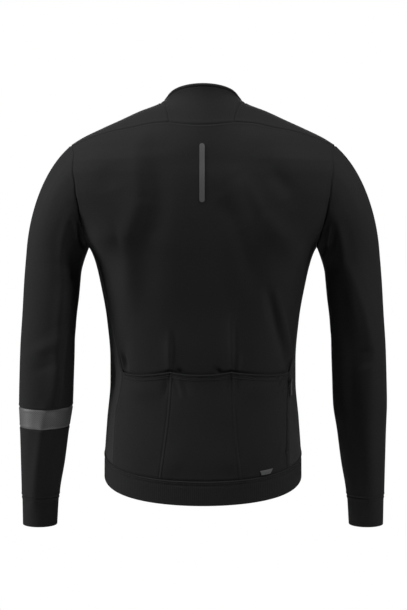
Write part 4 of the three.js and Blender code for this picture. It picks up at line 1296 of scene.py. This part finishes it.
class JERSEY_OT_hem(bpy.types.Operator):
    """Builds the elastic band round the hem"""

    bl_idname = "jersey.hem"
    bl_label = "Hem band"

    def execute(self, context):
        sizes = context.scene.jersey_sizes
        down = np.concatenate([[-5, -4, -2.5, -1, -0.4], np.arange(0, 4, 0.5),
                               np.linspace(4, 14, 14), np.linspace(15, HEM_BAND, 10)])
        angle, down = np.meshgrid(hem_angles(), down)
        z = hem_seam(angle) - down
        ends = angle_at(-1, ZIP_HALF, z)
        angle[:, 0], angle[:, -1] = ends[:, 0], mirrored(ends[:, -1])
        tucked = -4.4 + 3.0 * smooth((down + 0.6) / 0.5)
        proud = tucked + 1.9 * smooth((down - 0.1) / 2.4)
        proud = proud + 0.7 * bell(down, 3.0, 1.3)
        proud = proud - 0.8 * bell(down, 8.0, 2.6)
        points, normals = on_body(angle, z, proud)
        points = settle_seams(points, normals, ("left", "right"), 0.9)
        obj = cloth_object("hem_elastic", points, normals, sizes.band_cloth / MM, rim=0.8)
        finish_piece(obj, "hem_band", finish_of("band"))
        return {"FINISHED"}


SLEEVE_PARTS = (
    ("sleeve_left_top", "sleeve_left_upper", 1, 0, BAND_FROM, "knit", "jersey_knit"),
    ("sleeve_left_reflector", "sleeve_left_band", 1, BAND_FROM, BAND_TO, "reflective",
     "reflective_cloth"),
    ("sleeve_left_forearm", "sleeve_left_lower", 1, BAND_TO, CUFF_FROM, "knit", "jersey_knit"),
    ("sleeve_right_whole", "sleeve_right", -1, 0, CUFF_FROM, "knit", "jersey_knit"),
)


def sleeve_rows(first, last, step):
    """Rows of a sleeve piece, with even lengths on the cap and below it."""
    cap = [x for x in spread(0, 1, CAP_CELL, step, (True, False)) if first <= x < min(1, last)]
    rest = spread(max(1.0, first), last, RING_CELL, step, (first >= 1, True))
    return np.array([*cap, *rest])


class JERSEY_OT_sleeves(bpy.types.Operator):
    """Builds the sleeves, the left one with its reflective band"""

    bl_idname = "jersey.sleeves"
    bl_label = "Sleeves"

    def execute(self, context):
        sizes = context.scene.jersey_sizes
        step = sizes.fine_step / MM
        for name, node, side, first, last, finish, slot_name in SLEEVE_PARTS:
            turns = np.linspace(0, 2 * math.pi, 121)
            turn, at = np.meshgrid(turns, sleeve_rows(first, last, step))
            points, normals = on_sleeve(turn, at, side)
            depth = 0.6 if finish == "reflective" else 0.9
            points = settle_seams(points, normals, ("low", "high"), depth)
            points[:, -1] = points[:, 0]
            obj = cloth_object(name, points, normals, sizes.cloth / MM, closed=True)
            finish_piece(obj, node, finish_of(finish))
        return {"FINISHED"}


class JERSEY_OT_cuffs(bpy.types.Operator):
    """Builds the cuffs"""

    bl_idname = "jersey.cuffs"
    bl_label = "Cuffs"

    def execute(self, context):
        sizes = context.scene.jersey_sizes
        for name, side in (("cuff_left", 1), ("cuff_right", -1)):
            turns = np.linspace(0, 2 * math.pi, 85)
            rows = spread(CUFF_FROM, CUFF_TO, CUFF_CELL, 4, (True, False))
            turn, at = np.meshgrid(turns, rows)
            grip = CUFF_STEP * smooth((at - CUFF_FROM) / 0.12)
            points, normals = on_sleeve(turn, at, side, -grip)
            points = settle_seams(points, normals, ("low",), 0.8)
            points[:, -1] = points[:, 0]
            obj = cloth_object(name + "_knit", points, normals, sizes.band_cloth / MM, True, 0.8)
            finish_piece(obj, name, finish_of("knit"))
        return {"FINISHED"}


# Zip tapes: how deep they lie, and how far their edges sink under the cloth. Coils: width,
# length and height of a tooth, and their spacing
TAPE_DEPTH, TAPE_TUCK = 0.2, 0.9
FRONT_COIL = ((2.2, 0.85, 1.1), 1.25)
POCKET_COIL = ((1.7, 0.75, 0.9), 1.15)


def along_line(points, spacing):
    """Positions, directions and shares at an even spacing along a line of points."""
    length = np.concatenate([[0], np.cumsum(np.linalg.norm(np.diff(points, axis=0), axis=1))])
    stops = np.arange(spacing / 2, length[-1], spacing)
    where = np.stack([np.interp(stops, length, points[:, k]) for k in range(3)], 1)
    ahead = np.stack([np.interp(stops + 0.3, length, points[:, k]) for k in range(3)], 1)
    behind = np.stack([np.interp(stops - 0.3, length, points[:, k]) for k in range(3)], 1)
    return where, unit(ahead - behind), stops / length[-1]


def bead_rows(name, rows, size, spacing, finish, slot_name, segments=6):
    """Small rounded beads, such as stitches or zip teeth, laid end to end along rows."""
    bead_maker = bmesh.new()
    bmesh.ops.create_uvsphere(bead_maker, u_segments=segments, v_segments=4, radius=0.5)
    bmesh.ops.recalc_face_normals(bead_maker, faces=bead_maker.faces)
    for face in bead_maker.faces:
        face.smooth = True
    bead = bpy.data.meshes.new(name + "_bead")
    bead_maker.to_mesh(bead)
    bead_maker.free()
    mesh_maker = bmesh.new()
    for points, normals in rows:
        where, along, share = along_line(points, spacing)
        picks = np.clip((share * (len(points) - 1)).round().astype(int), 0, len(points) - 1)
        for position, direction, out in zip(where, along, normals[picks]):
            out = unit(out - direction * (out @ direction))
            axes = (np.cross(direction, out), direction, out)
            columns = [axis * length for axis, length in zip(axes, size)]
            place = Matrix.Identity(4)
            for k, column in enumerate((*columns, position)):
                place.col[k].xyz = column * MM
            bead.transform(place)
            mesh_maker.from_mesh(bead)
            bead.transform(place.inverted())
    obj = object_from(mesh_maker, name)
    bpy.data.meshes.remove(bead)
    obj.data.materials.append(finish_of(finish))
    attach(obj, BODY)
    return obj


class JERSEY_OT_front_zip(bpy.types.Operator):
    """Builds the front zip: its tape and its coil"""

    bl_idname = "jersey.front_zip"
    bl_label = "Front zip"

    def execute(self, context):
        low, high = float(hem_low(-math.pi / 2)), float(collar_top(-math.pi / 2))
        half = ZIP_HALF + ZIP_ROOM
        shares = np.array([-1, -0.88, -0.8, -0.5, -0.25, 0, 0.25, 0.5, 0.8, 0.88, 1])
        across, z = np.meshgrid(half * shares, np.linspace(low, high, 150))
        under = TAPE_TUCK * smooth((np.abs(across) / half - 0.8) / 0.2)
        points, normals = on_body(angle_at(-1, across, z), z, -TAPE_DEPTH - under)
        tape = cloth_object("front_zip_tape", points, normals, 1.0, rim=0.2)
        finish_piece(tape, "front_zip", finish_of("tape"))
        rows = []
        z = np.linspace(low + 3, high - 3, 300)
        for x in (-0.75, 0.75):
            rows.append(on_body(angle_at(-1, x, z), z, 0.35))
        bead_rows("front_zip_coil", rows, *FRONT_COIL, "coil", "zip_tape")
        return {"FINISHED"}


class JERSEY_OT_pocket_zip(bpy.types.Operator):
    """Builds the zip along the right pocket's outer edge"""

    bl_idname = "jersey.pocket_zip"
    bl_label = "Pocket zip"

    def execute(self, context):
        first = BACK_COLUMNS - POCKET_ZIP_SHARE
        columns = np.linspace(first - 0.03, BACK_COLUMNS, 10)
        column, row = np.meshgrid(columns, np.linspace(0.02, LOW_ROWS - 0.01, 60))
        angle, z = back_grid(column, row)
        from_middle = np.abs(2 * (column - first) / POCKET_ZIP_SHARE - 1)
        under = TAPE_TUCK * smooth((from_middle - 0.75) / 0.25)
        points, normals = on_body(angle, z, -TAPE_DEPTH - under)
        points = settle_seams(points, normals, ("left", "right"), 0, pull=-0.4)
        tape = cloth_object("pocket_zip_tape", points, normals, 1.0, rim=0.2)
        finish_piece(tape, "pocket_zip", finish_of("tape"))
        row = np.linspace(0.9, LOW_ROWS - 0.1, 120)
        rows = []
        for column in (BACK_COLUMNS - 0.36, BACK_COLUMNS - 0.24):
            angle, z = back_grid(np.full(row.shape, column), row)
            rows.append(on_body(angle, z, 0.25))
        bead_rows("pocket_zip_coil", rows, *POCKET_COIL, "coil", "zip_tape")
        return {"FINISHED"}


# Hard pieces: name, CAD node, body, slot, finish and rounding of the edges in millimetres
HARD_PIECES = (
    ("front_slider_metal", "front_zip_slider", BODY, "zip_hardware", "lacquer", 0.25),
    ("front_pull_tab", "front_zip_pull", "front_zip_pull", "pull_tab", "tab", 0.3),
    ("pocket_slider_metal", "pocket_zip_slider", BODY, "zip_hardware", "lacquer", 0.25),
    ("pocket_pull_tab", "pocket_zip_pull", "pocket_zip_pull", "pull_tab", "tab", 0.3),
)


class JERSEY_OT_sliders(bpy.types.Operator):
    """Builds the zip sliders and their pull tabs with rounded edges"""

    bl_idname = "jersey.sliders"
    bl_label = "Sliders and pulls"

    def execute(self, context):
        for name, node, body, slot_name, finish, rounding in HARD_PIECES:
            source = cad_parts[node]
            mesh_maker = bmesh.new()
            mesh_maker.from_mesh(source.data)
            bmesh.ops.transform(
                mesh_maker, matrix=source.matrix_world, verts=mesh_maker.verts, space=Matrix()
            )
            bmesh.ops.remove_doubles(mesh_maker, verts=mesh_maker.verts, dist=1e-6)
            bmesh.ops.dissolve_limit(
                mesh_maker, angle_limit=DEGREE, verts=mesh_maker.verts, edges=mesh_maker.edges
            )
            bmesh.ops.recalc_face_normals(mesh_maker, faces=mesh_maker.faces)
            obj = object_from(mesh_maker, name)
            round_edges(obj, rounding, 3, 40)
            finish_piece(obj, node, finish_of(finish), body)
        return {"FINISHED"}


# The strip's top, bottom, middle line and half width, and the tab: x of its two ends, each at
# its lower and upper edge, then how far it starts above the hem seam and how high it is
STRIP_TOP, STRIP_BOTTOM, STRIP_MIDDLE, STRIP_HALF = -73.0, -170.0, 1.6, 4.3
TAB_START, TAB_END = (-95.5, -92.5), (-110, -114)
TAB_LIFT, TAB_HEIGHT = 1.2, 7.8


class JERSEY_OT_reflective_trim(bpy.types.Operator):
    """Builds the reflective strip on the back and the plain tab at the hem"""

    bl_idname = "jersey.reflective_trim"
    bl_label = "Reflective strip and tab"

    def execute(self, context):
        tips = STRIP_HALF * (1 - np.cos(np.linspace(0, math.pi / 2, 7)))
        straight = np.linspace(STRIP_BOTTOM + STRIP_HALF + 3, STRIP_TOP - STRIP_HALF - 3, 26)
        z = np.concatenate([STRIP_BOTTOM + tips, straight, (STRIP_TOP - tips)[::-1]])
        near = np.clip(np.minimum(STRIP_TOP - z, z - STRIP_BOTTOM) / STRIP_HALF, 0, 1)
        width = STRIP_HALF * np.sqrt(np.clip(1 - (1 - near) ** 2, 0.01, 1))
        share, height = np.meshgrid(np.linspace(-1, 1, 9), z)
        across = STRIP_MIDDLE + share * width[:, None]
        points, normals = on_body(angle_at(1, across, height), height, 1.05)
        strip = cloth_object("reflective_film", points, normals, 0.8, rim=0.25)
        finish_piece(strip, "reflective_strip", finish_of("film"))

        share, up = np.meshgrid(np.linspace(0, 1, 14), np.linspace(0, 1, 7))
        x = lerp(lerp(*TAB_START, up), lerp(*TAB_END, up), share)
        z = hem_seam(angle_at(1, x, HEM_SIDE_Z)) + TAB_LIFT + up * TAB_HEIGHT
        points, normals = on_body(angle_at(1, x, z), z, 1.1 + 0.5 * np.sin(math.pi * up))
        tab = cloth_object("plain_hem_tab", points, normals, 0.9, rim=0.3)
        finish_piece(tab, "hem_tab", finish_of("woven"))
        return {"FINISHED"}


# The hem's stitch rows from its seam, and the zip's stitch rows from its middle
HEM_STITCHES = (-3.0, -5.4)
ZIP_STITCHES = (-8.0, 8.0)


class JERSEY_OT_stitching(bpy.types.Operator):
    """Sews the visible stitch rows: pocket mouths, hem and zip edges"""

    bl_idname = "jersey.stitching"
    bl_label = "Stitching"

    def execute(self, context):
        sizes = context.scene.jersey_sizes
        length = sizes.stitch / MM
        size = (0.5, length * 0.82, 0.4)
        mouths = []
        for _, _, first, last, opened, _ in POCKETS:
            columns = np.linspace(first + 0.15, last - 0.15, 60)
            for drop in MOUTH_STITCHES:
                row = np.full(1, LOW_ROWS - drop / POCKET_CELL[1])
                points, normals = pocket_points(columns, row, first, last, opened, 0.25)
                mouths.append((points[0], normals[0]))
        bead_rows("pocket_mouth_stitches", mouths, size, length, "thread", "pocket_knit")
        hem = []
        angle = hem_angles()[4:-4]
        for rise in HEM_STITCHES:
            hem.append(on_body(angle, hem_seam(angle) + rise, 0.6))
        bead_rows("hem_stitches", hem, size, length, "thread", "elastic_band")
        front = []
        z = np.linspace(float(hem_seam(-math.pi / 2)) + 2, NECK_ZIP_Z - 2, 240)
        for x in ZIP_STITCHES:
            front.append(on_body(angle_at(-1, x, z), z, 0.05))
        bead_rows("zip_edge_stitches", front, size, length, "thread", "jersey_knit")
        return {"FINISHED"}


# Lamps: turn from the camera's side towards the wearer's left and height, both in degrees,
# then distance and size in metres, and power in watts
LAMPS = (
    ("left_light", 80, 0, 3.0, 0.9, 48),
    ("left_high_light", 80, 35, 3.0, 0.9, 60),
    ("right_light", -58, 35, 3.0, 0.9, 48),
    ("right_low_light", -85, 0, 3.0, 0.9, 15),
    ("top_light", 0, 80, 2.6, 1.2, 44),
    ("front_light", 180, 20, 3.2, 1.6, 60),
)


# The picture: its size and the neck's place in pixels, and one pixel's size on the jersey
PICTURE = (407, 610)
NECK_AT = (203, 104)
PIXEL = 0.00168


class JERSEY_OT_stage(bpy.types.Operator):
    """Sets the floor, the soft studio light and the camera"""

    bl_idname = "jersey.stage"
    bl_label = "Studio"

    def execute(self, context):
        scene = context.scene
        stage = scene.jersey_stage
        mesh_maker = bmesh.new()
        bmesh.ops.create_circle(mesh_maker, cap_ends=True, segments=96, radius=3)
        bmesh.ops.translate(mesh_maker, vec=(0, 0, -stage.floor_drop), verts=mesh_maker.verts)
        floor = object_from(mesh_maker, "floor")
        paint = Finish("Pale floor", Roughness=0.9)
        paint.base((0.82, 0.82, 0.82, 1))
        floor.data.materials.append(paint.material)

        world = bpy.data.worlds.new("Studio")
        world.use_nodes = True
        tree = world.node_tree
        seen = tree.nodes.new("ShaderNodeLightPath")
        blend = tree.nodes.new("ShaderNodeMix")
        blend.inputs[2].default_value = stage.ambient
        blend.inputs[3].default_value = 1.0
        tree.links.new(seen.outputs["Is Camera Ray"], blend.inputs[0])
        backdrop = tree.nodes["Background"]
        backdrop.inputs["Color"].default_value = (1, 1, 1, 1)
        tree.links.new(blend.outputs[0], backdrop.inputs["Strength"])
        scene.world = world
        scene.view_settings.view_transform = "Standard"

        target = Vector((0, 0, -0.34))
        for name, round_turn, rise, distance, size, power in LAMPS:
            light = bpy.data.lights.new(name, "AREA")
            light.size = size
            light.energy = power * stage.brightness
            lamp = bpy.data.objects.new(name, light)
            flat = math.cos(rise * DEGREE)
            way = Vector((
                math.sin(round_turn * DEGREE) * flat,
                math.cos(round_turn * DEGREE) * flat,
                math.sin(rise * DEGREE),
            ))
            lamp.location = target + way * distance
            lamp.rotation_euler = (-way).to_track_quat("-Z", "Y").to_euler()
            scene.collection.objects.link(lamp)

        camera = bpy.data.objects.new("camera", bpy.data.cameras.new("camera"))
        scene.collection.objects.link(camera)
        wide, tall = PICTURE
        camera.data.sensor_width = 36
        camera.data.lens = 36 * stage.distance / (tall * PIXEL)
        camera.data.clip_end = 100
        camera.location = (0, stage.distance, (NECK_AT[1] - tall / 2) * PIXEL)
        camera.rotation_euler = (math.pi / 2, 0, math.pi)
        camera.data.shift_x = (wide / 2 - NECK_AT[0]) / tall
        scene.camera = camera
        return {"FINISHED"}


class JERSEY_PT_panel(bpy.types.Panel):
    """Lists the jersey's pieces"""

    bl_idname = "JERSEY_PT_panel"
    bl_label = "Cycling jersey"
    bl_space_type = "VIEW_3D"
    bl_region_type = "UI"
    bl_category = "Jersey"

    def draw(self, context):
        for group in ("jersey_sizes", "jersey_colours", "jersey_stage"):
            settings = getattr(context.scene, group)
            for key in settings.__annotations__:
                self.layout.prop(settings, key)
        for operator in OPERATORS:
            self.layout.operator(operator.bl_idname)


OPERATORS = (
    JERSEY_OT_stage,
    JERSEY_OT_back,
    JERSEY_OT_pockets,
    JERSEY_OT_sides,
    JERSEY_OT_fronts,
    JERSEY_OT_collar,
    JERSEY_OT_hem,
    JERSEY_OT_sleeves,
    JERSEY_OT_cuffs,
    JERSEY_OT_front_zip,
    JERSEY_OT_pocket_zip,
    JERSEY_OT_sliders,
    JERSEY_OT_reflective_trim,
    JERSEY_OT_stitching,
)
GROUPS = {
    "jersey_sizes": JerseySizes,
    "jersey_colours": JerseyColours,
    "jersey_stage": JerseyStage,
}


def register():
    for group in (*GROUPS.values(), *OPERATORS, JERSEY_PT_panel):
        bpy.utils.register_class(group)
    for name, group in GROUPS.items():
        setattr(bpy.types.Scene, name, PointerProperty(type=group))


def unregister():
    for name in GROUPS:
        delattr(bpy.types.Scene, name)
    for group in (JERSEY_PT_panel, *reversed(OPERATORS), *reversed(GROUPS.values())):
        bpy.utils.unregister_class(group)


def main():
    register()
    for operator in OPERATORS:
        group, name = operator.bl_idname.split(".")
        if getattr(getattr(bpy.ops, group), name)() != {"FINISHED"}:
            raise RuntimeError(operator.bl_idname + " did not finish")


if __name__ == "__main__":
    main()
